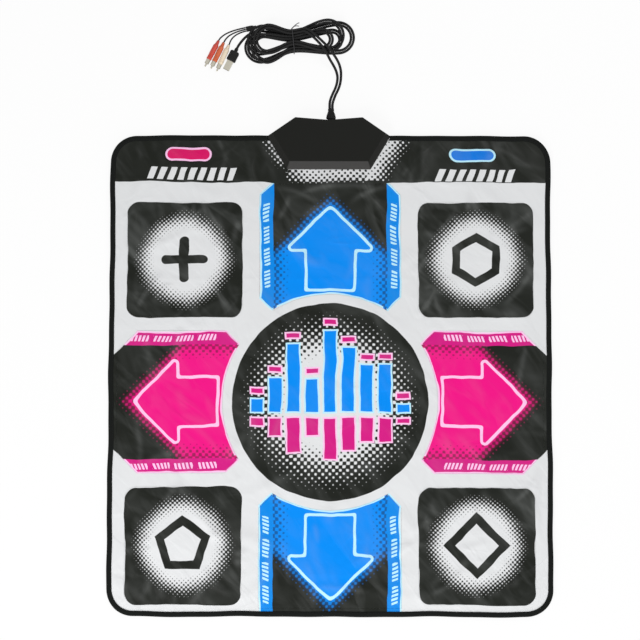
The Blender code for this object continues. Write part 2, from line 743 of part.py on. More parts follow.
def build_board():
    """Circuit board, its parts, the clamp strip and the inner wires."""
    front = FRONT_BOSS_Y - BOARD_EDGE
    rear = REAR_BOSS_Y + BOARD_EDGE
    middle = (BOX_CENTRE_X, (front + rear) / 2)
    board = rounded_rectangle(BOARD_WIDTH, rear - front, SCREW_RADIUS, middle, 2)
    bore = SCREW_RADIUS + SCREW_CLEARANCE
    holes = [circle(bore, place) for place in boss_places()]
    slab("circuit_board", [board, *holes], BOARD_Z, BOARD_THICKNESS, BOARD_GREEN)

    chip_z = BOARD_TOP + SEAT_GAP + CHIP_THICKNESS / 2
    block(
        "controller_chip", (CHIP_SIZE, CHIP_SIZE, CHIP_THICKNESS),
        (BOX_CENTRE_X - CHIP_SIZE, middle[1] - CHIP_SIZE / 2, chip_z), CHIP_BLACK,
        turn=radians(45), rounding=CHIP_THICKNESS / 8,
    )
    header_z = BOARD_TOP + SEAT_GAP + HEADER_BLOCK_SIZE[2] / 2
    header_y = rear - HEADER_BLOCK_SIZE[1]
    block(
        "wire_header", HEADER_BLOCK_SIZE, (RELIEF_X, header_y, header_z), HEADER_WHITE,
        rounding=HEADER_BLOCK_SIZE[2] / 15,
    )
    clamp_z = COVER_Z
    clamp_height = BOARD_Z - SEAT_GAP - clamp_z
    block(
        "contact_clamp", (*CLAMP_SIZE, clamp_height),
        (*clamp_middle(), clamp_z + clamp_height / 2), GREY_RUBBER,
    )
    wire_start = (RELIEF_X, flange_face_y() - SEAT_GAP, RELIEF_Z)
    wire_end = (RELIEF_X, header_y + HEADER_BLOCK_SIZE[1] / 2 + SEAT_GAP, header_z)
    straight = WIRE_DIAMETER / 2
    route = [
        wire_start,
        (RELIEF_X, wire_start[1] - straight, wire_start[2]),
        (RELIEF_X, (wire_start[1] + wire_end[1]) / 2, (wire_start[2] + wire_end[2]) / 2),
        (RELIEF_X, wire_end[1] + straight, wire_end[2]),
        wire_end,
    ]
    points = smooth_route(route, WIRE_DIAMETER)
    tube("box_wires", points, WIRE_DIAMETER, 2, CORD_BLACK)


def build_screws():
    """Four case screws, driven up from below."""
    head_z = SCREW_SEAT_DEPTH - SCREW_CLEARANCE - SCREW_HEAD_HEIGHT
    shank_z = head_z + SCREW_HEAD_HEIGHT
    tip_z = UPPER_BOSS_Z + SCREW_BITE
    profile = [
        (0, tip_z),
        (SCREW_RADIUS / 2, tip_z),
        (SCREW_RADIUS, tip_z - SCREW_RADIUS),
        (SCREW_RADIUS, shank_z),
        (SCREW_HEAD_RADIUS, shank_z),
        (SCREW_HEAD_RADIUS, head_z + SCREW_HEAD_HEIGHT / 4),
        (SCREW_HEAD_RADIUS * 0.8, head_z),
        (0, head_z),
    ]
    names = ("front_left", "front_right", "rear_left", "rear_right")
    for name, place in zip(names, boss_places()):
        screw = turned(f"{name}_screw", profile, SCREW_STEEL, HOLE_STEPS)
        screw.location = (*place, 0)


def flange_face_y():
    """Inner face of the strain relief's flange."""
    return NOTCH_Y - BOX_WALL - 2 * SEAT_GAP - BOX_REAR_SLOPE - RELIEF_FLANGE_THICKNESS


def build_relief():
    """Tapered boot with a neck through the wall and a flange inside it."""
    inner = flange_face_y()
    flange_end = inner + RELIEF_FLANGE_THICKNESS
    boot = BOX_REAR_Y - BOX_REAR_NOTCH + RELIEF_BASE_WIDTH / 10
    end = RELIEF_END_Y
    round_off = (end - boot) / 6
    profile = [
        (0, end),
        (RELIEF_END_WIDTH / 2 - round_off / 4, end),
        (RELIEF_END_WIDTH / 2, end - round_off / 2),
        (RELIEF_END_WIDTH / 2 * 1.08, end - 2.4 * round_off),
        (RELIEF_BASE_WIDTH / 2, boot + 2 * round_off),
        (RELIEF_BASE_WIDTH / 2, boot + round_off / 2),
        (RELIEF_BASE_WIDTH / 2 * 0.93, boot),
        (RELIEF_NECK_WIDTH / 2, boot),
        (RELIEF_NECK_WIDTH / 2, flange_end),
        (RELIEF_FLANGE_WIDTH / 2, flange_end),
        (RELIEF_FLANGE_WIDTH / 2, inner),
        (0, inner),
    ]
    relief = turned("strain_relief", profile, CORD_BLACK, 2 * ROUND_STEPS)
    relief.scale = (1, RELIEF_FLATNESS, 1)
    relief.rotation_euler = (-pi / 2, 0, 0)
    relief.location = (RELIEF_X, 0, RELIEF_Z)


def smooth_step(share):
    """Ease from 0 to 1 with level ends."""
    share = min(max(share, 0.0), 1.0)
    return share * share * (3 - 2 * share)


def smooth_route(chosen, spacing):
    """Evenly spaced points on a smooth curve, whose first and last stretches stay straight."""
    points = [Vector(point) for point in chosen]
    fine = []
    for before, start, end, after in zip(points, points[1:], points[2:], points[3:]):
        times = [0.0]
        for one, two in ((before, start), (start, end), (end, after)):
            times.append(times[-1] + sqrt((two - one).length))
        for step in range(ROUTE_STEPS):
            t = times[1] + (times[2] - times[1]) * step / ROUTE_STEPS
            low = blend_points(before, start, times[0], times[1], t)
            mid = blend_points(start, end, times[1], times[2], t)
            high = blend_points(end, after, times[2], times[3], t)
            left = blend_points(low, mid, times[0], times[2], t)
            right = blend_points(mid, high, times[1], times[3], t)
            fine.append(blend_points(left, right, times[1], times[2], t))
    fine.append(points[-2])
    walked = [0.0]
    for one, two in zip(fine, fine[1:]):
        walked.append(walked[-1] + (two - one).length)
    marks = np.linspace(0, walked[-1], ceil(walked[-1] / spacing) + 1)
    axes = [np.interp(marks, walked, [point[axis] for point in fine]) for axis in range(3)]
    spots = [tuple(float(value) for value in point) for point in zip(*axes)]
    return [tuple(points[0]), *spots, tuple(points[-1])]


def blend_points(start, end, start_time, end_time, time):
    """Point between two others at a time between their times."""
    share = (time - start_time) / (end_time - start_time)
    return start + (end - start) * share


def from_relief(points):
    """Points measured from the floor under the strain relief's end, in the mat's place."""
    base = Vector((RELIEF_X, RELIEF_END_Y, 0))
    return [tuple(base + Vector(point)) for point in points]


def hank_point(count, first_step):
    """Point of a cord's loops along, across and up: count in points, first_step inwards."""
    loop = floor(count / HANK_POINTS_PER_LOOP)
    turn = 4 * (count / HANK_POINTS_PER_LOOP - loop)
    inward = HANK_INWARD_STEPS[loop] + first_step
    layer = loop
    if loop == HANK_LOOPS:
        layer = HANK_LOOPS - 1
    elif loop > 0 and turn < 1:
        layer = loop - 1 + smooth_step(turn)
    left = loop if turn >= 1 else max(loop - 1, 0)
    left_run = HANK_LEFT_RUN - HANK_LEFT_SHORTER[left]
    right_run = HANK_RIGHT_RUN - HANK_RIGHT_SHORTER[loop]
    quarter = floor(turn)
    share = turn - quarter
    if quarter == 0:
        along = -left_run + (left_run + right_run) * share
        across = hank_half_width(along, inward, left_run, right_run)
    elif quarter == 1:
        angle = pi / 2 - pi * share
        radius = HANK_RIGHT_RADIUS - inward * HANK_STEP
        along = right_run + radius * cos(angle)
        across = radius * sin(angle)
    elif quarter == 2:
        along = right_run - (left_run + right_run) * share
        across = -hank_half_width(along, inward, left_run, right_run)
    else:
        angle = -pi / 2 - pi * share
        inward += (HANK_INWARD_STEPS[loop + 1] - HANK_INWARD_STEPS[loop]) * share
        radius = HANK_LEFT_RADIUS - inward * HANK_STEP
        along = -left_run + radius * cos(angle)
        across = radius * sin(angle)
    if along > 0:
        across += HANK_RIGHT_ASIDE[loop] * smooth_step(along / right_run)
    else:
        across += HANK_LEFT_ASIDE[left] * smooth_step(-along / left_run)
    lift = HANK_WAIST_LIFT * (1 - smooth_step(abs(along) / HANK_LIFT_REACH))
    height = CORD_FLOOR_Z + layer * HANK_LAYER + lift
    return (along, across, height)


def hank_half_width(along, inward, left_run, right_run):
    """Distance of a run from the hank's axis, drawn in at the waist."""
    waist = (HANK_STRANDS - 0.5 - inward) * HANK_STEP
    if along < 0:
        lobe, reach = HANK_LEFT_RADIUS, left_run
    else:
        lobe, reach = HANK_RIGHT_RADIUS, right_run
    lobe -= inward * HANK_STEP
    return waist + (lobe - waist) * smooth_step(abs(along) / reach)


def in_hank_place(along, across, height):
    """Point given along and across the hank, in the mat's place."""
    x = HANK_FROM_RELIEF[0] + along * cos(HANK_TURN) - across * sin(HANK_TURN)
    y = HANK_FROM_RELIEF[1] + along * sin(HANK_TURN) + across * cos(HANK_TURN)
    return from_relief([(x, y, height)])[0]


def hank_points(first_step):
    """Points of one cord's loops, with a straight end of one diameter at each side."""
    first = HANK_FIRST_POINT
    last = HANK_LOOPS * HANK_POINTS_PER_LOOP + HANK_LAST_POINT
    counts = [first, first + HANK_NUDGE, *range(first + 1, last), last - HANK_NUDGE, last]
    loops = [Vector(in_hank_place(*hank_point(count, first_step))) for count in counts]
    into = (loops[0] - loops[1]).normalized()
    away = (loops[-1] - loops[-2]).normalized()
    start = loops[0] + into * CORD_DIAMETER
    end = loops[-1] + away * CORD_DIAMETER
    return [tuple(point) for point in (start, loops[0], *loops[2:-2], loops[-1], end)]


def waist_sections():
    """Where both cords' loops pass the middle of the waist, across and up."""
    last = HANK_LOOPS * HANK_POINTS_PER_LOOP + HANK_LAST_POINT
    sections = []
    for first_step in (0, 1):
        loops = [hank_point(count, first_step) for count in range(HANK_FIRST_POINT, last + 1)]
        for one, two in zip(loops, loops[1:]):
            if one[0] * two[0] <= 0:
                share = one[0] / (one[0] - two[0])
                sections.append([one[i] + (two[i] - one[i]) * share for i in (1, 2)])
    return sections


def past_end(points, distance):
    """Point straight past the last of some points."""
    last = Vector(points[-1])
    heading = (last - Vector(points[-2])).normalized()
    return tuple(last + heading * distance)


def least_gap(points, other, diameter, apart):
    """Least gap between two tubes, or of a tube to itself past a distance along it."""
    here = np.array(points)
    there = np.array(other)
    if apart:
        walked = np.concatenate([[0], np.cumsum(np.linalg.norm(np.diff(here, axis=0), axis=1))])
    best = 1.0
    for i, point in enumerate(here):
        distance = np.linalg.norm(there - point, axis=1)
        if apart:
            distance = distance[np.abs(walked - walked[i]) > apart]
        if len(distance):
            best = min(best, float(distance.min()))
    return best - diameter


AV_ROUTE = (
    (0.0026, 0.0053, 0.0091),
    (0.0032, 0.011, 0.0078),
    (0.0056, 0.019, 0.0047),
    (0.0090, 0.028, 0.0030),
    (0.0138, 0.038, 0.0026),
    (0.0172, 0.049, 0.0026),
    (0.0186, 0.061, 0.0026),
    (0.0183, 0.073, 0.0034),
    (0.0156, 0.083, 0.0072),
    (0.0108, 0.092, 0.0130),
    (0.0050, 0.0995, 0.0188),
    (-0.0008, 0.1072, 0.0226),
    (-0.0109, 0.1184, 0.0234),
    (-0.0242, 0.1313, 0.0234),
    (-0.0327, 0.1384, 0.0234),
    (-0.0386, 0.1427, 0.0231),
    (-0.0445, 0.1465, 0.0222),
    (-0.0506, 0.1484, 0.0205),
)
USB_ROUTE = (
    (-0.0026, 0.0053, 0.0091),
    (-0.0024, 0.011, 0.0078),
    (-0.0006, 0.019, 0.0047),
    (0.0034, 0.0295, 0.0030),
    (0.0082, 0.040, 0.0026),
    (0.0113, 0.051, 0.0026),
    (0.0120, 0.062, 0.0026),
    (0.0092, 0.073, 0.0034),
    (0.0040, 0.0825, 0.0080),
    (-0.0014, 0.090, 0.0142),
    (-0.0056, 0.0968, 0.0198),
    (-0.0090, 0.1030, 0.0228),
    (-0.0156, 0.1130, 0.0234),
    (-0.0275, 0.1264, 0.0234),
    (-0.0358, 0.1341, 0.0234),
    (-0.0415, 0.1384, 0.0240),
    (-0.0466, 0.1415, 0.0238),
    (-0.0512, 0.1434, 0.0224),
)
AV_END_ROUTE = ((-0.1262, 0.1540, 0.0026), (-0.1346, 0.1556, 0.0028))
SPLITTER_ENTRY = (-0.1405, 0.1558)
SPLITTER_HEADING = (-0.977, -0.212)
USB_END_ROUTE = (
    (-0.1240, 0.1474, 0.0026),
    (-0.1340, 0.1481, 0.0026),
    (-0.1443, 0.1463, 0.0026),
    (-0.1549, 0.1415, 0.0026),
    (-0.1640, 0.1335, 0.0026),
    (-0.1712, 0.1245, 0.0030),
)
USB_PLUG_ENTRY = (-0.1770, 0.1140)
USB_PLUG_HEADING = (-0.450, -0.893)
LEADS = (
    ("red", 1, (-0.2115, 0.1290), (-0.460, -0.888), PLUG_RED,
     ((-0.1740, 0.1520), (-0.1870, 0.1480), (-0.1980, 0.1430), (-0.2058, 0.1370))),
    ("yellow", 0, (-0.2018, 0.1255), (-0.435, -0.900), PLUG_YELLOW,
     ((-0.1730, 0.1484), (-0.1840, 0.1440), (-0.1930, 0.1385), (-0.1985, 0.1320))),
    ("white", -1, (-0.1920, 0.1210), (-0.414, -0.910), PLUG_CREAM,
     ((-0.1710, 0.1450), (-0.1795, 0.1405), (-0.1860, 0.1345), (-0.1898, 0.1275))),
)


def build_cords():
    """Both cords from the strain relief through the hank to their short ends."""
    spacing = 2.2 * CORD_DIAMETER
    cords = (
        ("av", 1, 0, AV_ROUTE, AV_END_ROUTE, splitter_entry()),
        ("usb", -1, 1, USB_ROUTE, USB_END_ROUTE, usb_entry()),
    )
    loops = []
    for name, side, step, route, end_route, end in cords:
        wound = hank_points(step)
        loops.append(wound)
        exit_point = (side * CORD_PAIR_SPACING / 2, SEAT_GAP, RELIEF_Z)
        free = [*from_relief([exit_point, *route]), past_end(wound, CORD_DIAMETER / 2),
                past_end(wound, SEAT_GAP)]
        far = [past_end(wound[::-1], SEAT_GAP), past_end(wound[::-1], CORD_DIAMETER / 2),
               *from_relief(end_route), *end]
        tube(f"{name}_cord", smooth_route(free, spacing), CORD_DIAMETER, 2, CORD_BLACK)
        tube(f"{name}_cord_hank", wound, CORD_DIAMETER, 1, CORD_BLACK)
        tube(f"{name}_cord_end", smooth_route(far, spacing), CORD_DIAMETER, 2, CORD_BLACK)
        own = least_gap(wound, wound, CORD_DIAMETER, 4 * CORD_DIAMETER)
        print(f"{name} hank: least gap to itself {own * 1000:.2f} mm")
    between = least_gap(loops[0], loops[1], CORD_DIAMETER, 0)
    print(f"hank: least gap between the two cords {between * 1000:.2f} mm")


def splitter_entry():
    """Last two points of the AV cord, straight into the splitter."""
    heading = Vector((*SPLITTER_HEADING, 0))
    face = Vector((*SPLITTER_ENTRY, SPLITTER_SIZE[2] / 2 + CORD_REST))
    last = face - heading * SEAT_GAP
    return from_relief([tuple(last - heading * CORD_DIAMETER / 2), tuple(last)])


def usb_entry():
    """Last two points of the USB cord, straight into its plug."""
    heading = Vector((*USB_PLUG_HEADING, 0))
    face = Vector((*USB_PLUG_ENTRY, USB_BODY_SIZE[2] / 2 + CORD_REST))
    last = face - heading * SEAT_GAP
    return from_relief([tuple(last - heading * CORD_DIAMETER), tuple(last)])


def build_leads():
    """Splitter, three thin leads and their plugs."""
    heading = Vector((*SPLITTER_HEADING, 0)).normalized()
    middle_z = SPLITTER_SIZE[2] / 2 + CORD_REST
    entry = Vector((*SPLITTER_ENTRY, middle_z))
    middle = entry + heading * SPLITTER_SIZE[0] / 2
    place = from_relief([tuple(middle)])[0]
    block(
        "av_splitter", SPLITTER_SIZE, place, CORD_BLACK,
        turn=atan2(heading.y, heading.x), rounding=SPLITTER_SIZE[2] / 4,
    )
    exit_middle = entry + heading * (SPLITTER_SIZE[0] + SEAT_GAP)
    outward = Vector((heading.y, -heading.x, 0))
    pitch = (SPLITTER_SIZE[1] - LEAD_DIAMETER) / 2 - SEAT_GAP
    for name, side, rear, plug_heading, paint, route in LEADS:
        start = exit_middle + outward * side * pitch
        lead_z = LEAD_DIAMETER / 2 + CORD_REST
        along = Vector((*plug_heading, 0)).normalized()
        end = Vector((*rear, PLUG_AXIS_Z)) - along * SEAT_GAP
        chosen = [
            tuple(start), tuple(start + heading * LEAD_DIAMETER),
            *[(*spot, lead_z) for spot in route[:-1]],
            (*route[-1], (lead_z + PLUG_AXIS_Z) / 2),
            tuple(end - along * LEAD_DIAMETER), tuple(end),
        ]
        points = smooth_route(from_relief(chosen), 2.2 * LEAD_DIAMETER)
        tube(f"{name}_lead", points, LEAD_DIAMETER, 2, CORD_BLACK)
        build_plug(name, from_relief([(*rear, PLUG_AXIS_Z)])[0], along, paint)


def build_plug(name, rear, heading, paint):
    """Moulded plug body and its turned contact, from the lead's end forwards."""
    neck = PLUG_BODY_LENGTH * 0.28
    body = turned(f"{name}_plug_body", [
        (0, PLUG_BODY_LENGTH),
        (PLUG_BODY_RADIUS * 0.9, PLUG_BODY_LENGTH),
        (PLUG_BODY_RADIUS, PLUG_BODY_LENGTH * 0.96),
        (PLUG_BODY_RADIUS, neck * 1.25),
        (PLUG_BODY_RADIUS * 0.8, neck),
        (PLUG_NECK_RADIUS, 0),
        (0, 0),
    ], paint)
    lay_along(body, rear, heading)
    flange = PLUG_SLEEVE_WALL * 2
    front = PLUG_BODY_LENGTH + SEAT_GAP
    contact = turned(f"{name}_plug_contact", [
        (0, front + flange + PLUG_PIN_LENGTH),
        (PLUG_PIN_RADIUS / 2, front + flange + PLUG_PIN_LENGTH),
        (PLUG_PIN_RADIUS, front + flange + PLUG_PIN_LENGTH - PLUG_PIN_RADIUS),
        (PLUG_PIN_RADIUS, front + flange),
        (PLUG_SLEEVE_RADIUS - PLUG_SLEEVE_WALL, front + flange),
        (PLUG_SLEEVE_RADIUS - PLUG_SLEEVE_WALL, front + flange + PLUG_SLEEVE_LENGTH),
        (PLUG_SLEEVE_RADIUS, front + flange + PLUG_SLEEVE_LENGTH),
        (PLUG_SLEEVE_RADIUS, front),
        (0, front),
    ], PLUG_METAL)
    lay_along(contact, rear, heading)


def build_usb_plug():
    """USB plug: moulded body with a neck and tongue, and its open metal shell."""
    heading = Vector((*USB_PLUG_HEADING, 0)).normalized()
    turn = atan2(heading.y, heading.x)
    axis_z = USB_BODY_SIZE[2] / 2 + CORD_REST
    entry = Vector(from_relief([(*USB_PLUG_ENTRY, axis_z)])[0])
    grip = USB_BODY_SIZE[0] - USB_NECK_LENGTH
    body = block(
        "usb_plug_body", (grip, USB_BODY_SIZE[1], USB_BODY_SIZE[2]),
        entry + heading * (USB_NECK_LENGTH + grip / 2), CORD_BLACK, turn=turn,
        rounding=USB_BODY_SIZE[2] / 6,
    )
    neck_width = CORD_DIAMETER + 2 * USB_BODY_SIZE[2] / 8
    neck = block(
        "usb_neck", (2 * USB_NECK_LENGTH, neck_width, neck_width),
        entry + heading * USB_NECK_LENGTH, None, turn=turn, collection=CUTTERS,
    )
    shell_length, shell_width, shell_height = USB_SHELL_SIZE
    inner_width = shell_width - 2 * USB_SHELL_WALL - 2 * SEAT_GAP
    tongue_drop = (shell_height - USB_TONGUE_THICKNESS) / 2 - USB_SHELL_WALL - SEAT_GAP
    tongue = block(
        "usb_tongue", (2 * shell_length - 2 * USB_SHELL_WALL, inner_width, USB_TONGUE_THICKNESS),
        entry + heading * USB_BODY_SIZE[0] + Vector((0, 0, tongue_drop)), None, turn=turn,
        collection=CUTTERS,
    )
    trim = block(
        "usb_front", (shell_length, 2 * shell_width, 2 * shell_height),
        entry + heading * (USB_BODY_SIZE[0] + 1.5 * shell_length - USB_SHELL_WALL), None,
        turn=turn, collection=CUTTERS,
    )
    combine(tongue, trim)
    combine(body, neck, "UNION")
    combine(body, tongue, "UNION")
    sleeve = [
        (-shell_width / 2, -shell_height / 2),
        (shell_width / 2, -shell_height / 2),
        (shell_width / 2, shell_height / 2),
        (-shell_width / 2, shell_height / 2),
    ]
    hollow = [
        (across * (1 - 2 * USB_SHELL_WALL / shell_width),
         up * (1 - 2 * USB_SHELL_WALL / shell_height))
        for across, up in sleeve
    ]
    shell = slab("usb_plug_shell", [sleeve, hollow], 0, shell_length, PLUG_METAL)
    shell.rotation_euler = (pi / 2, 0, turn + pi / 2)
    shell.location = entry + heading * (USB_BODY_SIZE[0] + SEAT_GAP + shell_length / 2)


def build_tie():
    """Wire tie wound once round the hank's waist, its two ends splayed."""
    around = CORD_DIAMETER / 2 + TIE_CLEARANCE + TIE_DIAMETER / 2
    sections = waist_sections()
    edge = max(across for across, _ in sections) + around
    far_edge = min(across for across, _ in sections) - around
    low = min(up for _, up in sections) - around
    high = max(up for _, up in sections) + around
    middle = (low + high) / 2
    corner_points = CORNER_STEPS + 1
    ring = rounded_rectangle(
        edge - far_edge, high - low, around, ((edge + far_edge) / 2, middle)
    )
    ring = ring[corner_points:] + ring[:corner_points]
    slip = TIE_DIAMETER * 0.8
    wound = [
        (slip - 2 * slip * step / (len(ring) - 1), across, up)
        for step, (across, up) in enumerate(ring)
    ]
    high_tail = [
        (0.0150, edge + 0.0105, middle + 0.0010),
        (0.0112, edge + 0.0088, middle + 0.0030),
        (0.0070, edge + 0.0060, middle + 0.0040),
        (0.0035, edge + 0.0026, middle + 0.0044),
        (slip, edge + 0.0004, middle + 0.0055),
    ]
    low_tail = [
        (-slip, edge + 0.0004, middle - 0.0055),
        (0.0005, edge + 0.0030, middle - 0.0040),
        (0.0046, edge + 0.0060, middle - 0.0030),
        (0.0100, edge + 0.0064, middle - 0.0036),
        (0.0142, edge + 0.0058, middle - 0.0052),
    ]
    points = [in_hank_place(*point) for point in (*high_tail, *wound, *low_tail)]
    tube("twist_tie", points, TIE_DIAMETER, 2, BOX_PLASTIC)


def shade_round_pieces():
    """Smooth shading on meshes, with sharp edges kept."""
    for obj in PARTS.objects:
        if obj.type == "MESH":
            obj.data.shade_smooth()
            obj.data.set_sharp_from_angle(angle=radians(35))


def build():
    """Build every piece of the dance mat."""
    clear_scene()
    pads = all_pads()
    build_layers(pads)
    build_pads(pads)
    build_box()
    build_board()
    build_screws()
    build_relief()
    build_cords()
    build_leads()
    build_usb_plug()
    build_tie()
    shade_round_pieces()


build()
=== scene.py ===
"""Foldable dance mat: printed cover with ten pads, cloth binding, control box and tied cords.

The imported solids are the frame. Each soft solid is replaced by a fuller piece in the same
place, and every piece gets a material made of nodes. All sizes are in metres unless a name
says otherwise.
"""

from functools import partial
from math import atan2, ceil, cos, floor, pi, radians, sin, sqrt

import bpy
import numpy as np
from bpy.props import FloatProperty, FloatVectorProperty, IntProperty, PointerProperty
from mathutils import Matrix, Vector
from mathutils.geometry import delaunay_2d_cdt


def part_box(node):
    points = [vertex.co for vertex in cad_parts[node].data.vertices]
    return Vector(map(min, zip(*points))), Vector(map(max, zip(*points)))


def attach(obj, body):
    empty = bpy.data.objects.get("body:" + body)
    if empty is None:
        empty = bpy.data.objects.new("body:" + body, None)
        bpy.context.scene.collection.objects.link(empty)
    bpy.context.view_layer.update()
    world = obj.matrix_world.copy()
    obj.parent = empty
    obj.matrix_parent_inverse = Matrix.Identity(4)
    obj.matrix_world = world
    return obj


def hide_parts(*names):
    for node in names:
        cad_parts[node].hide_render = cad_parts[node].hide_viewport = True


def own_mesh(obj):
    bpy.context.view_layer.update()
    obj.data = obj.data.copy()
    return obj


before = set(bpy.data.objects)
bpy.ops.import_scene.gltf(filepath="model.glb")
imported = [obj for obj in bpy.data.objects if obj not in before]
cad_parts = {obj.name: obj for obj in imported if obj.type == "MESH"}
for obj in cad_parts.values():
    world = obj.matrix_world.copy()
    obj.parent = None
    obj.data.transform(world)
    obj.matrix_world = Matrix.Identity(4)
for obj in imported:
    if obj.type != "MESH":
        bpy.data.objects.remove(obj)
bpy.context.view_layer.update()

bl_info = {
    "name": "Dance mat",
    "version": (1, 0, 0),
    "blender": (4, 5, 0),
    "location": "3D View > Sidebar > Dance Mat",
    "description": "Printed cover, pads, binding, control box and tied cords of a dance mat",
    "category": "Object",
}

# Places that come from the frame
BINDING_LOW, BINDING_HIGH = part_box("edge_binding")
COVER_LOW, COVER_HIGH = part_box("top_cover")
SHELL_LOW, SHELL_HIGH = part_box("box_top_shell")
MAT_WIDTH = BINDING_HIGH[0] - BINDING_LOW[0]
MAT_LENGTH = BINDING_HIGH[1] - BINDING_LOW[1]
MAT_FRONT_Y = BINDING_LOW[1]
MAT_REAR_Y = BINDING_HIGH[1]
MAT_CENTRE_Y = (MAT_FRONT_Y + MAT_REAR_Y) / 2
COVER_Z = COVER_LOW[2]
COVER_TOP = COVER_HIGH[2]
COVER_THICKNESS = COVER_TOP - COVER_Z
BINDING_TOP = BINDING_HIGH[2]
BOX_REAR_Y = SHELL_HIGH[1]
BOX_FRONT_Y = SHELL_LOW[1]

# Mat and printed layout
MAT_CORNER_RADIUS = 0.050
BINDING_WIDTH = 0.010
BINDING_CLOTH = 0.0008
LAYOUT_Y = MAT_CENTRE_Y - 0.052
FIELD_RADIUS = 0.199
PANEL_WIDTH = 0.262
PANEL_STRIP_WIDTH = 0.026
CORNER_PAD_SIZE = 0.214
CORNER_PAD_RADIUS = 0.021
CORNER_PAD_ACROSS = 0.270
CORNER_PAD_ALONG = 0.2635
KEY_LENGTH = 0.088
KEY_WIDTH = 0.029
KEY_ACROSS = 0.2645
KEY_Y = MAT_REAR_Y - 0.037
PAD_GAP = 0.0003
# Arrow pads, each a quarter turn on from the last, with the chamfers of their outer corners
ARROW_PADS = (("up_pad", 0.021), ("left_pad", 0.038), ("down_pad", 0), ("right_pad", 0.038))
CONTACT_SHEET_INSET = 0.012
SPACER_HOLE_PITCH = 0.060
SPACER_HOLE_RADIUS = 0.014
KEY_HOLE_PITCH = 0.030
KEY_HOLE_RADIUS = 0.007

# Control box
BOX_CENTRE_X = -0.003
BOX_WIDTH = 0.230
BOX_WIDEST_FROM_REAR = 0.036
BOX_REAR_WIDTH = 0.126
BOX_FRONT_WIDTH = 0.156
BOX_REAR_NOTCH = 0.005
BOX_CLEARANCE = 0.0005
BOSS_HOLE_RADIUS = 0.0045
BOSS_HALF_SPAN = 0.050
BOSS_FROM_FRONT = 0.028
CLAMP_WINDOW = (0.071, 0.009)
CLAMP_FROM_BOSS = 0.018

# Cords
REST_GAP = 0.0003
RELIEF_X = 0.001
RELIEF_Z = COVER_TOP + REST_GAP / 2
RELIEF_END_Y = BOX_REAR_Y + 0.0171
CORD_DIAMETER = 0.0046
CORD_FLOOR_Z = CORD_DIAMETER / 2 + REST_GAP
CORD_PAIR_SPACING = 0.0052
LEAD_DIAMETER = 0.0028
ROUTE_STEPS = 24

# Tied hank, measured along and across its own axis
HANK_FROM_RELIEF = (-0.0715, 0.127)
HANK_TURN = radians(6)
HANK_LEFT_RUN = 0.063
HANK_RIGHT_RUN = 0.085
HANK_LEFT_RADIUS = 0.0322
HANK_RIGHT_RADIUS = 0.0296
HANK_STEP = 0.0052
HANK_LAYER = 0.0051
HANK_LOOPS = 4
HANK_STRANDS = 4
# One value for each loop: steps inwards, and how much its ends fall short and lie aside
HANK_INWARD_STEPS = (0, 2, 0, 2, 0)
HANK_LEFT_SHORTER = (0.0, 0.006, 0.012, 0.018, 0.018)
HANK_LEFT_ASIDE = (0.0, 0.004, -0.004, 0.002, 0.002)
HANK_RIGHT_SHORTER = (0.0, 0.012, 0.019, 0.030, 0.018)
HANK_RIGHT_ASIDE = (0.0, -0.004, 0.004, -0.004, 0.0)
HANK_WAIST_LIFT = 0.0018
HANK_LIFT_REACH = 0.045
HANK_POINTS_PER_LOOP = 24
HANK_FIRST_POINT = 1
HANK_LAST_POINT = 3
HANK_FINENESS = 4

# Plugs
PLUG_BODY_LENGTH = 0.040
PLUG_BODY_RADIUS = 0.0045
PLUG_AXIS_Z = PLUG_BODY_RADIUS + REST_GAP
SPLITTER_SIZE = (0.020, 0.010, 0.0052)
USB_BODY_SIZE = (0.026, 0.0175, 0.0090)
USB_NECK_LENGTH = 0.006
USB_SHELL_SIZE = (0.0185, 0.0120, 0.0045)

# Print, in millimetres from the middle of the round field
MM = 1000
STRIP_INNER = 105
PANEL_HALF = 131
REAR_CHAMFER_SUM = 518
SIDE_CHAMFER_SUM = 487
TIP_DIFFERENCE = 60
RING_RADIUS = 199
DISC_RADIUS = 182
ARROW_HEAD_SUM = 365
ARROW_HEAD_BASE = 281
ARROW_SHAFT_HALF = 45.5
ARROW_SHAFT_END = 207
ARROW_STROKE = 2.6
ARROW_ROUNDING = 8
ARROW_TIP_ROUNDING = 5.5
ARROW_APEX_ROUNDING = 5
PALE_LINE = 3
HEADER_EDGE = 409
# Kinds of dots: pitch, and sharpness of their edges
PANEL_DOTS = (12.3, 3.0)
HALO_DOTS = (10.9, 5.0)
GLOW_DOTS = (8.1, 2.4)
DISC_DOTS = (13.3, 4.0)
# Dots of the arrow panels: share of ink at the arrow's head, its fade, and the sides' loss
PANEL_LEVEL = 0.68
PANEL_FADE = 40
PANEL_SIDE_LOSS = 0.60
PANEL_SIDE_START = 72
PANEL_SIDE_FADE = 32
# Dots round the control box: slope of its sides, then shares of white before and beside it
BOX_SIDE_COS = 0.859
BOX_SIDE_SIN = 0.512
FRONT_ROW_LEVEL = 0.74
LEFT_ROW_LEVEL = 0.48
RIGHT_ROW_LEVEL = 0.84
RIGHT_ROW_FADE = 0.0195
# Glow of the corner pads: how square it is, its radius and its fade
GLOW_ROUND_SHARE = 0.86
GLOW_SQUARE_SHARE = 0.11
GLOW_RADIUS = 53.5
GLOW_FADE = 42
# Pale middle of the round field, and the fainter ring round it: radius and fade
DISC_GLOW = (80, 66)
DISC_RING = (113, 114)
DISC_RING_LEVEL = 0.5
# Slanted marks under each key: middle, height on the mat and number of bars
HEADER_MARKS = ((-257.5, 356, 9), (270.5, 353, 8))
MARK_PITCH = 18.6
MARK_GAP = 7.0
MARK_HALF_HEIGHT = 11.5
MARK_SLANT = 0.36
EDGE_SOFTNESS = 0.7
NO_CHAMFER_SUM = 1000
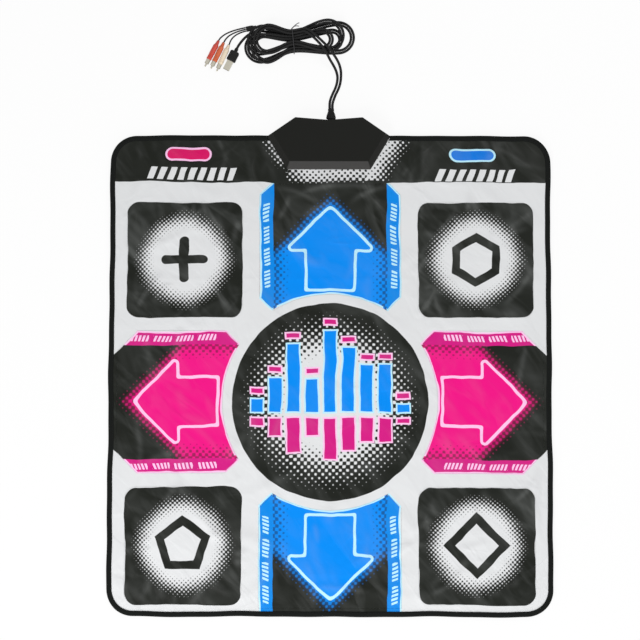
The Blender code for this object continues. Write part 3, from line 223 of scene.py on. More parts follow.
# Slow wander of the printed lines: noise scale and reach
PRINT_WANDER = ((9.0, 8), (30.0, 5))
# Rows of slanted dashes on the side strips of the arrow pads
STRIP_MIDDLE = 118
DASH_PITCH = 7
DASH_GROUP = 42
DASH_SLANT = 0.35
DASH_HALF_WIDTH = 5.5
DASHES_MIDDLE = 290
DASHES_REACH = 81
# Level bars of the round field
BARS = 9
BAR_PITCH = 34
BAR_HALF_WIDTH = 11
TALLEST_BAR = 158
SHORTEST_BAR = 0.35
BAR_WAVE = 1.9
BAR_PHASE = 0.4
BAR_TAPER = 0.05
UPPER_BAR_DROP = 18
LOWER_BAR_DROP = 30
BAR_CAP_RISE = 16
BAR_CAP_HALF = 4
# Figures of the corner pads, and the rims of the keys
FIGURE_RADIUS = 36
FIGURE_HALF_LINE = 7.5
PLUS_REACH = 35
PLUS_HALF_LINE = 8.5
KEY_MARGIN = 0.6
KEY_LINE = 3.8

# Finishes and meshes
# Point attribute of the sheets that marks crease crests for painted highlights
CREST_LIGHT_ATTRIBUTE = "crest_wear"
# Drawn-out smears of the vinyl, which bump it and carry painted highlights and painted shade:
# direction, rates along and across, threshold and sharpness
VINYL_SMEARS = (
    (0.6, (26.0, 9.0), 0.50, 3.4), (-0.8, (8.0, 30.0), 0.52, 3.8), (1.5, (14.0, 6.0), 0.47, 2.6),
)
# Painted shade on the white vinyl along creases and smears
PAINTED_CREASE_SHADE = (0.42, 0.42, 0.44, 1)
# Where the painted highlights of the black grow and shrink: change, start and fade along the mat
HIGHLIGHT_MORE_ALONG = (0.45, 0.02, 0.12)
HIGHLIGHT_LESS_ALONG = (-0.90, 0.335, 0.012)
TRACK_PITCH = 0.012
COARSE_SPACING = 0.012
CIRCLE_STEPS = 24
SMOOTH_ANGLE = radians(40)
BINDING_SMOOTH_ANGLE = radians(50)
BINDING_SPACING = 0.004
# Slow sideways wander of the binding: rate, phase and share
WANDER_WAVES = ((21, 0, 1), (34, 2, 1), (71, 1, 0.6))
STITCH_INSET = 0.0022
THREAD_RADIUS = 0.00028
STITCH_SHAPE = (5.4, 1.0, 0.9)
NOTCH_SHARE_IN_MAT = 0.7

# Endings of the frame's own nodes that stay, and their finishes
KEPT_NODE_FINISHES = (
    ("_shell", "satin_box_plastic"), ("circuit_board", "etched_board"),
    ("controller_chip", "epoxy_chip"), ("wire_header", "header_nylon"),
    ("contact_clamp", "clamp_rubber"), ("box_wires", "cord_jacket"), ("twist_tie", "tie_strip"),
    ("_contact_sheet", "contact_film"), ("_contact", "contact_film"),
    ("_screw", "screw_plating"),
)

# Stage
CAMERA_PLACE = (-0.01891, -0.10647, 2.80239)
CAMERA_TILT = radians(3.867)
CAMERA_ROLL = radians(0.104)
SENSOR_WIDTH = 36
# Each lamp's setting, place and size
LAMPS = (
    ("key_power", (-1.35, -1.75, 2.3), 1.3),
    ("low_power", (0.2, -2.9, 1.1), 1.6),
    ("fill_power", (1.45, 1.45, 2.4), 1.2),
)
FLOOR_SIZE = 14
FLOOR_Z = -0.0002
FLOOR_FADE = (0.9, 1.6)

AV_ROUTE = (
    (0.0026, 0.0053, 0.0091), (0.0032, 0.011, 0.0078), (0.0056, 0.019, 0.0047),
    (0.0090, 0.028, 0.0030), (0.0138, 0.038, 0.0026), (0.0172, 0.049, 0.0026),
    (0.0186, 0.061, 0.0026), (0.0183, 0.073, 0.0034), (0.0156, 0.083, 0.0072),
    (0.0108, 0.092, 0.0130), (0.0050, 0.0995, 0.0188), (-0.0008, 0.1072, 0.0226),
    (-0.0109, 0.1184, 0.0234), (-0.0242, 0.1313, 0.0234), (-0.0327, 0.1384, 0.0234),
    (-0.0386, 0.1427, 0.0231), (-0.0445, 0.1465, 0.0222), (-0.0506, 0.1484, 0.0205),
)
USB_ROUTE = (
    (-0.0026, 0.0053, 0.0091), (-0.0024, 0.011, 0.0078), (-0.0006, 0.019, 0.0047),
    (0.0034, 0.0295, 0.0030), (0.0082, 0.040, 0.0026), (0.0113, 0.051, 0.0026),
    (0.0120, 0.062, 0.0026), (0.0092, 0.073, 0.0034), (0.0040, 0.0825, 0.0080),
    (-0.0014, 0.090, 0.0142), (-0.0056, 0.0968, 0.0198), (-0.0090, 0.1030, 0.0228),
    (-0.0156, 0.1130, 0.0234), (-0.0275, 0.1264, 0.0234), (-0.0358, 0.1341, 0.0234),
    (-0.0415, 0.1384, 0.0240), (-0.0466, 0.1415, 0.0238), (-0.0512, 0.1434, 0.0224),
)
AV_END_ROUTE = ((-0.1262, 0.1540, 0.0026), (-0.1346, 0.1556, 0.0028))
SPLITTER_ENTRY = (-0.1405, 0.1558, SPLITTER_SIZE[2] / 2 + REST_GAP)
SPLITTER_HEADING = (-0.977, -0.212, 0)
USB_END_ROUTE = (
    (-0.1240, 0.1474, 0.0026), (-0.1340, 0.1481, 0.0026), (-0.1443, 0.1463, 0.0026),
    (-0.1549, 0.1415, 0.0026), (-0.1640, 0.1335, 0.0026), (-0.1712, 0.1245, 0.0030),
)
USB_PLUG_ENTRY = (-0.1770, 0.1140, USB_BODY_SIZE[2] / 2 + REST_GAP)
USB_PLUG_HEADING = (-0.450, -0.893, 0)
LEADS = (
    ("red", 1, (-0.2115, 0.1290), (-0.460, -0.888),
     ((-0.1740, 0.1520), (-0.1870, 0.1480), (-0.1980, 0.1430), (-0.2058, 0.1370))),
    ("yellow", 0, (-0.2018, 0.1255), (-0.435, -0.900),
     ((-0.1730, 0.1484), (-0.1840, 0.1440), (-0.1930, 0.1385), (-0.1985, 0.1320))),
    ("white", -1, (-0.1920, 0.1210), (-0.414, -0.910),
     ((-0.1710, 0.1450), (-0.1795, 0.1405), (-0.1860, 0.1345), (-0.1898, 0.1275))),
)


def circle(radius, centre):
    """Points round a circle."""
    turns = [2 * pi * i / CIRCLE_STEPS for i in range(CIRCLE_STEPS)]
    return [(centre[0] + radius * cos(turn), centre[1] + radius * sin(turn)) for turn in turns]


def rounded_rectangle(width, length, radius, centre, steps=12):
    """Points round a rectangle with round corners."""
    points = []
    corners = ((1, -1, -90), (1, 1, 0), (-1, 1, 90), (-1, -1, 180))
    for side, end, first in corners:
        middle_x = centre[0] + side * (width / 2 - radius)
        middle_y = centre[1] + end * (length / 2 - radius)
        for step in range(steps + 1):
            angle = radians(first + 90 * step / steps)
            points.append((middle_x + radius * cos(angle), middle_y + radius * sin(angle)))
    return points


def mat_outline(inset):
    """Edge of the mat, moved in by an inset."""
    return rounded_rectangle(
        MAT_WIDTH - 2 * inset, MAT_LENGTH - 2 * inset, MAT_CORNER_RADIUS - inset,
        (0, MAT_CENTRE_Y), 16,
    )


def panel_outline(reach, chamfer, grow):
    """Edge of an arrow pad that runs from the round field outwards along +Y."""
    half = PANEL_WIDTH / 2 + grow
    outer = reach + grow
    arc = FIELD_RADIUS - grow
    tip_at_rest = PANEL_WIDTH / 2 - PANEL_STRIP_WIDTH
    slant = tip_at_rest - sqrt(FIELD_RADIUS**2 - tip_at_rest**2) + grow * sqrt(2)
    tip_along = (sqrt(2 * arc**2 - slant**2) - slant) / 2
    tip_across = tip_along + slant
    shoulder = tip_along + half - tip_across
    right = [(tip_across, tip_along), (half, shoulder)]
    if chamfer:
        corner = chamfer + grow * (2 - sqrt(2))
        right += [(half, outer - corner), (half - corner, outer)]
    else:
        right += [(half, outer)]
    left = [(-across, along) for across, along in reversed(right)]
    spread = atan2(tip_across, tip_along)
    bow = [
        (arc * sin(-spread + 2 * spread * step / 32),
         arc * cos(-spread + 2 * spread * step / 32))
        for step in range(1, 32)
    ]
    return right + left + bow


def box_outline():
    """Outline of the control box with its clearance."""
    widest_y = BOX_REAR_Y - BOX_WIDEST_FROM_REAR
    corners = [
        (-BOX_FRONT_WIDTH / 2, BOX_FRONT_Y),
        (BOX_FRONT_WIDTH / 2, BOX_FRONT_Y),
        (BOX_WIDTH / 2, widest_y),
        (BOX_REAR_WIDTH / 2, BOX_REAR_Y),
        (0, BOX_REAR_Y - BOX_REAR_NOTCH),
        (-BOX_REAR_WIDTH / 2, BOX_REAR_Y),
        (-BOX_WIDTH / 2, widest_y),
    ]
    lines = []
    for here, there in zip(corners, corners[1:] + corners[:1]):
        heading = (Vector(there) - Vector(here)).normalized()
        outward = Vector((heading.y, -heading.x))
        lines.append((Vector(here) + outward * BOX_CLEARANCE, heading))
    points = []
    for (base, along), (other, other_along) in zip(lines[-1:] + lines, lines):
        cross = along.x * other_along.y - along.y * other_along.x
        gap = other - base
        reach = (gap.x * other_along.y - gap.y * other_along.x) / cross
        spot = base + along * reach
        points.append((spot.x + BOX_CENTRE_X, spot.y))
    return points


def smooth_step(share):
    """Ease from 0 to 1 with level ends."""
    share = min(max(share, 0.0), 1.0)
    return share * share * (3 - 2 * share)


def smooth_route(chosen, spacing):
    """Evenly spaced points on a smooth curve, whose first and last stretches stay straight."""
    points = [Vector(point) for point in chosen]
    fine = []
    for before, start, end, after in zip(points, points[1:], points[2:], points[3:]):
        times = [0.0]
        for one, two in ((before, start), (start, end), (end, after)):
            times.append(times[-1] + sqrt((two - one).length))
        for step in range(ROUTE_STEPS):
            t = times[1] + (times[2] - times[1]) * step / ROUTE_STEPS
            low = blend_points(before, start, times[0], times[1], t)
            mid = blend_points(start, end, times[1], times[2], t)
            high = blend_points(end, after, times[2], times[3], t)
            left = blend_points(low, mid, times[0], times[2], t)
            right = blend_points(mid, high, times[1], times[3], t)
            fine.append(blend_points(left, right, times[1], times[2], t))
    fine.append(points[-2])
    walked = [0.0]
    for one, two in zip(fine, fine[1:]):
        walked.append(walked[-1] + (two - one).length)
    marks = np.linspace(0, walked[-1], ceil(walked[-1] / spacing) + 1)
    tracks = [np.interp(marks, walked, track) for track in zip(*fine)]
    spots = [tuple(float(value) for value in point) for point in zip(*tracks)]
    return [tuple(points[0]), *spots, tuple(points[-1])]


def blend_points(start, end, start_time, end_time, time):
    """Point between two others at a time between their times."""
    share = (time - start_time) / (end_time - start_time)
    return start + (end - start) * share


def from_relief(points):
    """Points measured from the floor under the strain relief's end, in the mat's place."""
    base = Vector((RELIEF_X, RELIEF_END_Y, 0))
    return [tuple(base + Vector(point)) for point in points]


def hank_point(count, first_step):
    """Point of a cord's loops along, across and up: count in points, first_step inwards."""
    loop = floor(count / HANK_POINTS_PER_LOOP)
    turn = 4 * (count / HANK_POINTS_PER_LOOP - loop)
    inward = HANK_INWARD_STEPS[loop] + first_step
    layer = loop
    if loop == HANK_LOOPS:
        layer = HANK_LOOPS - 1
    elif loop > 0 and turn < 1:
        layer = loop - 1 + smooth_step(turn)
    left = loop if turn >= 1 else max(loop - 1, 0)
    left_run = HANK_LEFT_RUN - HANK_LEFT_SHORTER[left]
    right_run = HANK_RIGHT_RUN - HANK_RIGHT_SHORTER[loop]
    quarter = floor(turn)
    share = turn - quarter
    if quarter == 0:
        along = -left_run + (left_run + right_run) * share
        across = hank_half_width(along, inward, left_run, right_run)
    elif quarter == 1:
        angle = pi / 2 - pi * share
        radius = HANK_RIGHT_RADIUS - inward * HANK_STEP
        along = right_run + radius * cos(angle)
        across = radius * sin(angle)
    elif quarter == 2:
        along = right_run - (left_run + right_run) * share
        across = -hank_half_width(along, inward, left_run, right_run)
    else:
        angle = -pi / 2 - pi * share
        inward += (HANK_INWARD_STEPS[loop + 1] - HANK_INWARD_STEPS[loop]) * share
        radius = HANK_LEFT_RADIUS - inward * HANK_STEP
        along = -left_run + radius * cos(angle)
        across = radius * sin(angle)
    if along > 0:
        across += HANK_RIGHT_ASIDE[loop] * smooth_step(along / right_run)
    else:
        across += HANK_LEFT_ASIDE[left] * smooth_step(-along / left_run)
    lift = HANK_WAIST_LIFT * (1 - smooth_step(abs(along) / HANK_LIFT_REACH))
    height = CORD_FLOOR_Z + layer * HANK_LAYER + lift
    return (along, across, height)


def hank_half_width(along, inward, left_run, right_run):
    """Distance of a run from the hank's axis, drawn in at the waist."""
    waist = (HANK_STRANDS - 0.5 - inward) * HANK_STEP
    if along < 0:
        lobe, reach = HANK_LEFT_RADIUS, left_run
    else:
        lobe, reach = HANK_RIGHT_RADIUS, right_run
    lobe -= inward * HANK_STEP
    return waist + (lobe - waist) * smooth_step(abs(along) / reach)


def in_hank_place(along, across, height):
    """Point given along and across the hank, in the mat's place."""
    x = HANK_FROM_RELIEF[0] + along * cos(HANK_TURN) - across * sin(HANK_TURN)
    y = HANK_FROM_RELIEF[1] + along * sin(HANK_TURN) + across * cos(HANK_TURN)
    return from_relief([(x, y, height)])[0]


def hank_points(first_step):
    """Close points of one cord's loops, with a straight end of one diameter at each side."""
    first = HANK_FIRST_POINT
    last = HANK_LOOPS * HANK_POINTS_PER_LOOP + HANK_LAST_POINT
    counts = np.linspace(first, last, (last - first) * HANK_FINENESS + 1)
    loops = [Vector(in_hank_place(*hank_point(count, first_step))) for count in counts]
    into = (loops[0] - loops[1]).normalized()
    away = (loops[-1] - loops[-2]).normalized()
    start = loops[0] + into * CORD_DIAMETER
    end = loops[-1] + away * CORD_DIAMETER
    return [tuple(point) for point in (start, *loops, end)]


def past_end(points, distance):
    """Point straight past the last of some points."""
    last = Vector(points[-1])
    heading = (last - Vector(points[-2])).normalized()
    return tuple(last + heading * distance)


def entry_points(face, heading, straight):
    """Last two points of a long cord, straight into the face of its splitter or plug."""
    heading = Vector(heading)
    last = Vector(face) - heading * REST_GAP
    return from_relief([last - heading * straight, last])


def distance_to_loop(places, loop):
    """Distance of each place to the sides of a closed loop, in the plane."""
    starts = np.array(loop)
    steps = np.roll(starts, -1, axis=0) - starts
    best = np.full(len(places), 10.0)
    for start, step in zip(starts, steps):
        size = step @ step
        if size < 1e-14:
            continue
        share = np.clip((places - start) @ step / size, 0, 1)
        away = places - start - share[:, None] * step
        best = np.minimum(best, np.hypot(away[:, 0], away[:, 1]))
    return best


def inside_loop(places, loop):
    """Which places lie inside a closed loop."""
    inside = np.zeros(len(places), bool)
    across, along = places[:, 0], places[:, 1]
    for (x1, y1), (x2, y2) in zip(loop, loop[1:] + loop[:1]):
        if y1 == y2:
            continue
        crosses = (along < y1) != (along < y2)
        inside ^= crosses & (across < (x2 - x1) * (along - y1) / (y2 - y1) + x1)
    return inside


def spaced_loop(loop, spacing):
    """A closed loop with points no further apart than a spacing."""
    points = []
    for start, end in zip(loop, loop[1:] + loop[:1]):
        length = sqrt((end[0] - start[0]) ** 2 + (end[1] - start[1]) ** 2)
        if length < 1e-7:
            continue
        steps = max(1, ceil(length / spacing))
        for step in range(steps):
            share = step / steps
            points.append((start[0] + (end[0] - start[0]) * share,
                           start[1] + (end[1] - start[1]) * share))
    return points


def inside_sheet(places, edge, holes):
    """Which places lie inside an edge and outside every hole."""
    inside = inside_loop(places, edge)
    for hole in holes:
        inside &= ~inside_loop(places, hole)
    return inside


def flat_sheet(edge, holes, spacing):
    """Points and triangles of a flat sheet inside an edge and outside its holes."""
    loops = [spaced_loop(loop, spacing) for loop in (edge, *holes)]
    points = []
    sides = []
    for loop in loops:
        first = len(points)
        points += loop
        sides += [(first + i, first + (i + 1) % len(loop)) for i in range(len(loop))]
    low = np.min(loops[0], axis=0)
    high = np.max(loops[0], axis=0)
    columns = np.arange(low[0], high[0], spacing)
    rows = np.arange(low[1], high[1], spacing * sqrt(3) / 2)
    across, along = np.meshgrid(columns, rows)
    across[::2] += spacing / 2
    places = np.column_stack([across.ravel(), along.ravel()])
    places = places[inside_sheet(places, edge, holes)]
    for loop in (edge, *holes):
        places = places[distance_to_loop(places, loop) > 0.55 * spacing]
    corners = [Vector(place) for place in (*points, *places.tolist())]
    made = delaunay_2d_cdt(corners, sides, [], 1, 1e-7)
    spots = np.array([tuple(spot) for spot in made[0]])
    triangles = np.array([face for face in made[2] if len(face) == 3])
    return spots, triangles[inside_sheet(spots[triangles].mean(axis=1), edge, holes)]


def loop_area(loop):
    """Area inside a closed loop."""
    return abs(sum(
        one[0] * two[1] - two[0] * one[1] for one, two in zip(loop, loop[1:] + loop[:1])
    )) / 2


# Creases of the cover: place, direction in degrees, half length, half width, height, bow
CREASES = (
    (0.010, 0.334, 4, 0.085, 0.0045, 0.0016, -2.4),
    (-0.055, 0.318, 158, 0.045, 0.0040, 0.0012, 3.0),
    (0.072, 0.322, 22, 0.040, 0.0045, 0.0012, -3.0),
    (-0.085, 0.290, 65, 0.030, 0.0040, 0.0010, 4.0),
    (0.092, 0.288, 118, 0.034, 0.0040, 0.0010, -4.0),
    (0.172, 0.378, 88, 0.050, 0.0035, 0.0016, 0.6),
    (0.168, 0.300, 93, 0.055, 0.0030, 0.0006, 0.4),
    (-0.150, 0.360, 100, 0.030, 0.0040, 0.0010, -2.0),
    (-0.198, 0.375, 75, 0.030, 0.0040, 0.0009, 3.0),
    (0.330, 0.395, 150, 0.045, 0.0040, 0.0011, 2.0),
    (0.365, 0.372, 165, 0.040, 0.0040, 0.0009, -2.0),
    (0.215, 0.262, 50, 0.030, 0.0035, 0.0011, 4.0),
    (0.185, 0.120, 60, 0.035, 0.0035, 0.0012, 5.0),
    (0.200, 0.105, 112, 0.030, 0.0035, 0.0011, -5.0),
    (0.345, 0.262, 40, 0.035, 0.0045, 0.0010, -3.0),
    (0.350, 0.140, 50, 0.040, 0.0045, 0.0011, 3.0),
    (-0.345, 0.262, 130, 0.035, 0.0045, 0.0009, 3.0),
    (-0.342, 0.132, 55, 0.038, 0.0045, 0.0011, -3.0),
    (-0.205, 0.128, 125, 0.036, 0.0045, 0.0012, 3.0),
    (-0.350, -0.330, 30, 0.040, 0.0045, 0.0010, 2.0),
    (-0.210, -0.400, 140, 0.034, 0.0040, 0.0010, -3.0),
    (0.345, -0.290, 160, 0.036, 0.0045, 0.0010, 2.0),
    (0.215, -0.405, 35, 0.036, 0.0040, 0.0011, 3.0),
    (-0.350, -0.150, 95, 0.050, 0.0045, 0.0011, 1.5),
    (0.352, -0.010, 80, 0.050, 0.0045, 0.0011, -1.5),
    (-0.100, -0.120, 70, 0.040, 0.0050, 0.0008, 1.0),
    (0.060, -0.190, 20, 0.050, 0.0050, 0.0008, -1.0),
    (0.115, -0.020, 120, 0.045, 0.0050, 0.0008, 2.0),
    (-0.040, 0.045, 165, 0.045, 0.0050, 0.0008, 1.0),
    (0.020, -0.410, 175, 0.060, 0.0045, 0.0010, 1.0),
    (-0.080, -0.360, 100, 0.045, 0.0040, 0.0008, 1.0),
)
# Fold lines left by packing: lines across at y, lines along at x, and their heights
FOLDS_ALONG = ((-0.150, 0.0004), (0.172, 0.0006))
FOLDS_ACROSS = ((0.158, 0.0005), (-0.168, 0.0004), (-0.385, 0.0003))
FOLD_HALF_WIDTH = 0.0030
LOOSE_CREASES = 70
PAD_CREASES = 15
HEADER_CREASES = 26
# Ranges of the loose creases' values, in the order of CREASES; a pad's lack place and direction
LOOSE_CREASE_RANGES = (
    (-0.38, 0.38), (-0.43, 0.40), (0, 180), (0.018, 0.055), (0.0040, 0.0080), (0.0004, 0.0011),
    (-5, 5),
)
PAD_CREASE_RANGES = ((0.010, 0.028), (0.0032, 0.0060), (0.0006, 0.0013), (-9, 9))
HEADER_CREASE_RANGES = (
    (-0.38, 0.38), (0.338, 0.418), (50, 130), (0.010, 0.026), (0.0032, 0.0060),
    (0.0005, 0.0012), (-9, 9),
)
CREASE_SEED = 11
CREASE_SOFTNESS = 1.6
CREASE_LIFT = 1.25
# Crease height at which its crest gets the full painted highlight
FULL_CREST_LIGHT_HEIGHT = 0.0012
EDGE_FADE = 0.030
BOX_FADE = 0.016
WAVES = (
    (9.0, 13.0, 0.4), (17.0, -7.0, 1.9), (-12.0, 19.0, 3.1), (26.0, 11.0, 5.2), (5.0, 31.0, 0.9),
)


def scattered(chance, count, *ranges):
    """Rows of values, each drawn evenly from its own range."""
    return np.column_stack([chance.uniform(low, high, count) for low, high in ranges])


def crease_table():
    """The placed creases and the seeded loose ones, as rows of an array."""
    chance = np.random.default_rng(CREASE_SEED)
    rows = [np.array(CREASES), scattered(chance, LOOSE_CREASES, *LOOSE_CREASE_RANGES)]
    for side, end in ((-1, -1), (-1, 1), (1, -1), (1, 1)):
        turn = chance.uniform(0, 360, PAD_CREASES)
        reach = chance.uniform(0.068, 0.112, PAD_CREASES)
        rows.append(np.column_stack([
            side * CORNER_PAD_ACROSS + reach * np.cos(np.radians(turn)),
            LAYOUT_Y + end * CORNER_PAD_ALONG + reach * np.sin(np.radians(turn)),
            turn + chance.normal(0, 38, PAD_CREASES),
            scattered(chance, PAD_CREASES, *PAD_CREASE_RANGES),
        ]))
    rows.append(scattered(chance, HEADER_CREASES, *HEADER_CREASE_RANGES))
    return np.vstack(rows)


def cover_rise(places, crease_height, wave_height):
    """How far the printed sheet stands above its flat lay, and a mask of its crests for painted
    highlights.
    """
    across, along = places[:, 0], places[:, 1]
    rise = np.zeros(len(places))
    wear = np.zeros(len(places))
    for x_rate, y_rate, phase in WAVES:
        rise += (1 + np.sin(x_rate * across + y_rate * along + phase)) * wave_height / 4
    for x, y, angle, half_length, half_width, height, bow in crease_table():
        turn = radians(angle)
        along_it = (across - x) * cos(turn) + (along - y) * sin(turn)
        off_it = (along - y) * cos(turn) - (across - x) * sin(turn) - bow * along_it**2
        off_it = off_it / (half_width * CREASE_SOFTNESS)
        share = np.exp(-((along_it / half_length) ** 4) - off_it**2)
        rise += share * height * CREASE_LIFT * crease_height
        # Painted highlight: mask along each crease crest, fuller for taller creases
        wear = np.maximum(wear, share**2 * min(height / FULL_CREST_LIGHT_HEIGHT, 1))
    for track, folds in ((across, FOLDS_ALONG), (along, FOLDS_ACROSS)):
        for place, height in folds:
            rise += height * np.exp(-np.abs(track - place) / FOLD_HALF_WIDTH)
    past_x = np.abs(across) - MAT_WIDTH / 2 + MAT_CORNER_RADIUS
    past_y = np.abs(along - MAT_CENTRE_Y) - MAT_LENGTH / 2 + MAT_CORNER_RADIUS
    edge_gap = MAT_CORNER_RADIUS - np.hypot(np.maximum(past_x, 0), np.maximum(past_y, 0))
    edge_gap -= np.minimum(np.maximum(past_x, past_y), 0)
    edge_share = np.clip((edge_gap - BINDING_WIDTH - 0.001) / EDGE_FADE, 0, 1)
    box = box_outline()
    box_gap = distance_to_loop(places, box)
    box_gap[inside_loop(places, box)] = 0
    box_share = np.clip((box_gap - 0.002) / BOX_FADE, 0, 1)
    share = np.minimum(edge_share, box_share)
    return rise * share * share * (3 - 2 * share), wear


def arrow_pad(quarters, reach, chamfer, grow):
    """Placed edge of an arrow pad a number of quarter turns on, grown outwards."""
    points = panel_outline(reach, chamfer, grow)
    for _ in range(quarters):
        points = [(-along, across) for across, along in points]
    return [(across, along + LAYOUT_Y) for across, along in points]


def corner_pad(side, end, grow):
    """Placed edge of a corner pad, grown outwards."""
    size = CORNER_PAD_SIZE + 2 * grow
    centre = (side * CORNER_PAD_ACROSS, LAYOUT_Y + end * CORNER_PAD_ALONG)
    return rounded_rectangle(size, size, CORNER_PAD_RADIUS + grow, centre)


def key_pad(side, grow):
    """Placed edge of a key, grown outwards, a hair short of a true half circle at its ends."""
    width = KEY_WIDTH + 2 * grow
    return rounded_rectangle(
        KEY_LENGTH + 2 * grow, width, width / 2 - 0.00001, (side * KEY_ACROSS, KEY_Y)
    )


def pad_shapes():
    """Name of each pad and key, with the function that gives its placed edge for a growth."""
    shapes = []
    for quarters, (name, chamfer) in enumerate(ARROW_PADS):
        low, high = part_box(name)
        reach = (high[1] - LAYOUT_Y, -low[0], LAYOUT_Y - low[1], high[0])[quarters]
        shapes.append((name, partial(arrow_pad, quarters, reach, chamfer)))
    for end, end_name in ((1, "rear"), (-1, "front")):
        for side, side_name in ((-1, "left"), (1, "right")):
            shapes.append((f"{end_name}_{side_name}_pad", partial(corner_pad, side, end)))
    for side, name in ((-1, "select_button"), (1, "start_button")):
        shapes.append((name, partial(key_pad, side)))
    return shapes


def combined(operation, *values):
    """Number from a Math node with these values, of which at least one is a Number."""
    tree = next(value.socket.id_data for value in values if isinstance(value, Number))
    node = tree.nodes.new("ShaderNodeMath")
    node.operation = operation
    for slot, value in zip(node.inputs, values):
        put(value, slot)
    return Number(node.outputs[0])


class Number:
    """A value on a shader socket, whose arithmetic adds Math nodes to its tree."""

    def __init__(self, socket):
        self.socket = socket

    def maths(self, operation, *others):
        """Math node with this value first."""
        return combined(operation, self, *others)

    def __add__(self, other):
        return self.maths("ADD", other)

    __radd__ = __add__

    def __sub__(self, other):
        return self.maths("SUBTRACT", other)

    def __rsub__(self, other):
        return combined("SUBTRACT", other, self)

    def __mul__(self, other):
        return self.maths("MULTIPLY", other)

    __rmul__ = __mul__

    def __truediv__(self, other):
        return self.maths("DIVIDE", other)

    def __abs__(self):
        return self.maths("ABSOLUTE")

    def above(self, other):
        """1 where this is greater, otherwise 0."""
        return self.maths("GREATER_THAN", other)

    def below(self, other):
        """1 where this is less, otherwise 0."""
        return self.maths("LESS_THAN", other)

    def most(self, other):
        """The greater of two values."""
        return self.maths("MAXIMUM", other)

    def least(self, other):
        """The smaller of two values."""
        return self.maths("MINIMUM", other)

    def share(self):
        """This held between 0 and 1."""
        held = self.maths("ADD", 0.0)
        held.socket.node.use_clamp = True
        return held

    def wave(self, length):
        """Cosine of this over a wave length."""
        return (self * (2 * pi / length)).maths("COSINE")

    def fraction(self):
        """Part of this past the whole number."""
        return self.maths("FRACT")

    def within(self, softness=EDGE_SOFTNESS):
        """Mask of where a distance is below zero, with a soft edge."""
        return (0.5 - self / softness).share()


def length_of(one, two):
    """Length of a pair of values."""
    return (one * one + two * two).maths("SQRT")


def new_group(name, inputs, outputs):
    """Input and output nodes of a new shader node group with these sockets."""
    tree = bpy.data.node_groups.new(name, "ShaderNodeTree")
    for label, kind, default in inputs:
        socket = tree.interface.new_socket(label, in_out="INPUT", socket_type=kind)
        if default is not None:
            socket.default_value = default
    for label, kind in outputs:
        tree.interface.new_socket(label, in_out="OUTPUT", socket_type=kind)
    return tree.nodes.new("NodeGroupInput"), tree.nodes.new("NodeGroupOutput")


def put(value, slot):
    """Link a number or socket to a slot, or set the slot's own value."""
    if isinstance(value, Number):
        value = value.socket
    if isinstance(value, bpy.types.NodeSocket):
        slot.id_data.links.new(value, slot)
    else:
        slot.default_value = value


def mixed(share, first, second):
    """Colour between two colours."""
    node = share.socket.id_data.nodes.new("ShaderNodeMix")
    node.data_type = "RGBA"
    for slot, value in zip((0, 6, 7), (share, first, second)):
        put(value, node.inputs[slot])
    return node.outputs[2]


def axes(vector):
    """The three numbers of a vector."""
    node = vector.id_data.nodes.new("ShaderNodeSeparateXYZ")
    put(vector, node.inputs[0])
    return [Number(output) for output in node.outputs]


def noise(place, scale, detail, roughness=0.5, distortion=0.0):
    """Noise texture node at a place."""
    node = place.id_data.nodes.new("ShaderNodeTexNoise")
    values = (("Vector", place), ("Scale", scale), ("Detail", detail), ("Roughness", roughness),
              ("Distortion", distortion))
    for label, value in values:
        put(value, node.inputs[label])
    return node


def noise_value(place, scale, detail=2.0, roughness=0.5, distortion=0.0):
    """Noise from 0 to 1 as a number."""
    return Number(noise(place, scale, detail, roughness, distortion).outputs["Fac"])


def scaled_place(place, scale):
    """A place with all its axes scaled alike by a value, or each by its own number."""
    node = place.id_data.nodes.new("ShaderNodeVectorMath")
    alike = isinstance(scale, bpy.types.NodeSocket)
    node.operation = "SCALE" if alike else "MULTIPLY"
    put(place, node.inputs[0])
    put(scale, node.inputs["Scale" if alike else 1])
    return node.outputs[0]


def halftone(x, y, level, pitch, sharpness):
    """Slanted grid of round dots that grow with the level, from none at 0 to solid at 1."""
    value = x.wave(pitch) * y.wave(pitch) * 0.5 + 0.5
    return ((value - 1 + level) * sharpness + level).share()


PRINT_COLOURS = (
    ("White", "white"), ("Black", "black"), ("Blue", "blue"), ("Blue strip", "blue_strip"),
    ("Blue line", "blue_line"), ("Pink", "pink"), ("Pink strip", "pink_strip"),
    ("Pink line", "pink_line"), ("Start key", "start_key"), ("Select key", "select_key"),
)


def print_group(colours):
    """Printed picture of the whole cover, from its place on the mat."""
    inputs = [("Place", "NodeSocketVector", None)]
    inputs += [(label, "NodeSocketColor", (*getattr(colours, name), 1))
               for label, name in PRINT_COLOURS]
    source, target = new_group("mat_print", inputs, [("Colour", "NodeSocketColor")])
    ink = {label: source.outputs[label] for label, _ in PRINT_COLOURS}
    place = source.outputs["Place"]
    x, y, _ = axes(place)
    x, y = x * MM, y * MM - LAYOUT_Y * MM
    for scale, reach in PRINT_WANDER:
        across, along, _ = axes(noise(place, scale, 1.0).outputs["Color"])
        x, y = x + (across - 0.5) * reach, y + (along - 0.5) * reach
    colour = panel_print(ink, x, y)
    for part in (header_print, field_print, corner_print, key_print):
        colour = part(ink, x, y, colour)
    put(colour, target.inputs["Colour"])


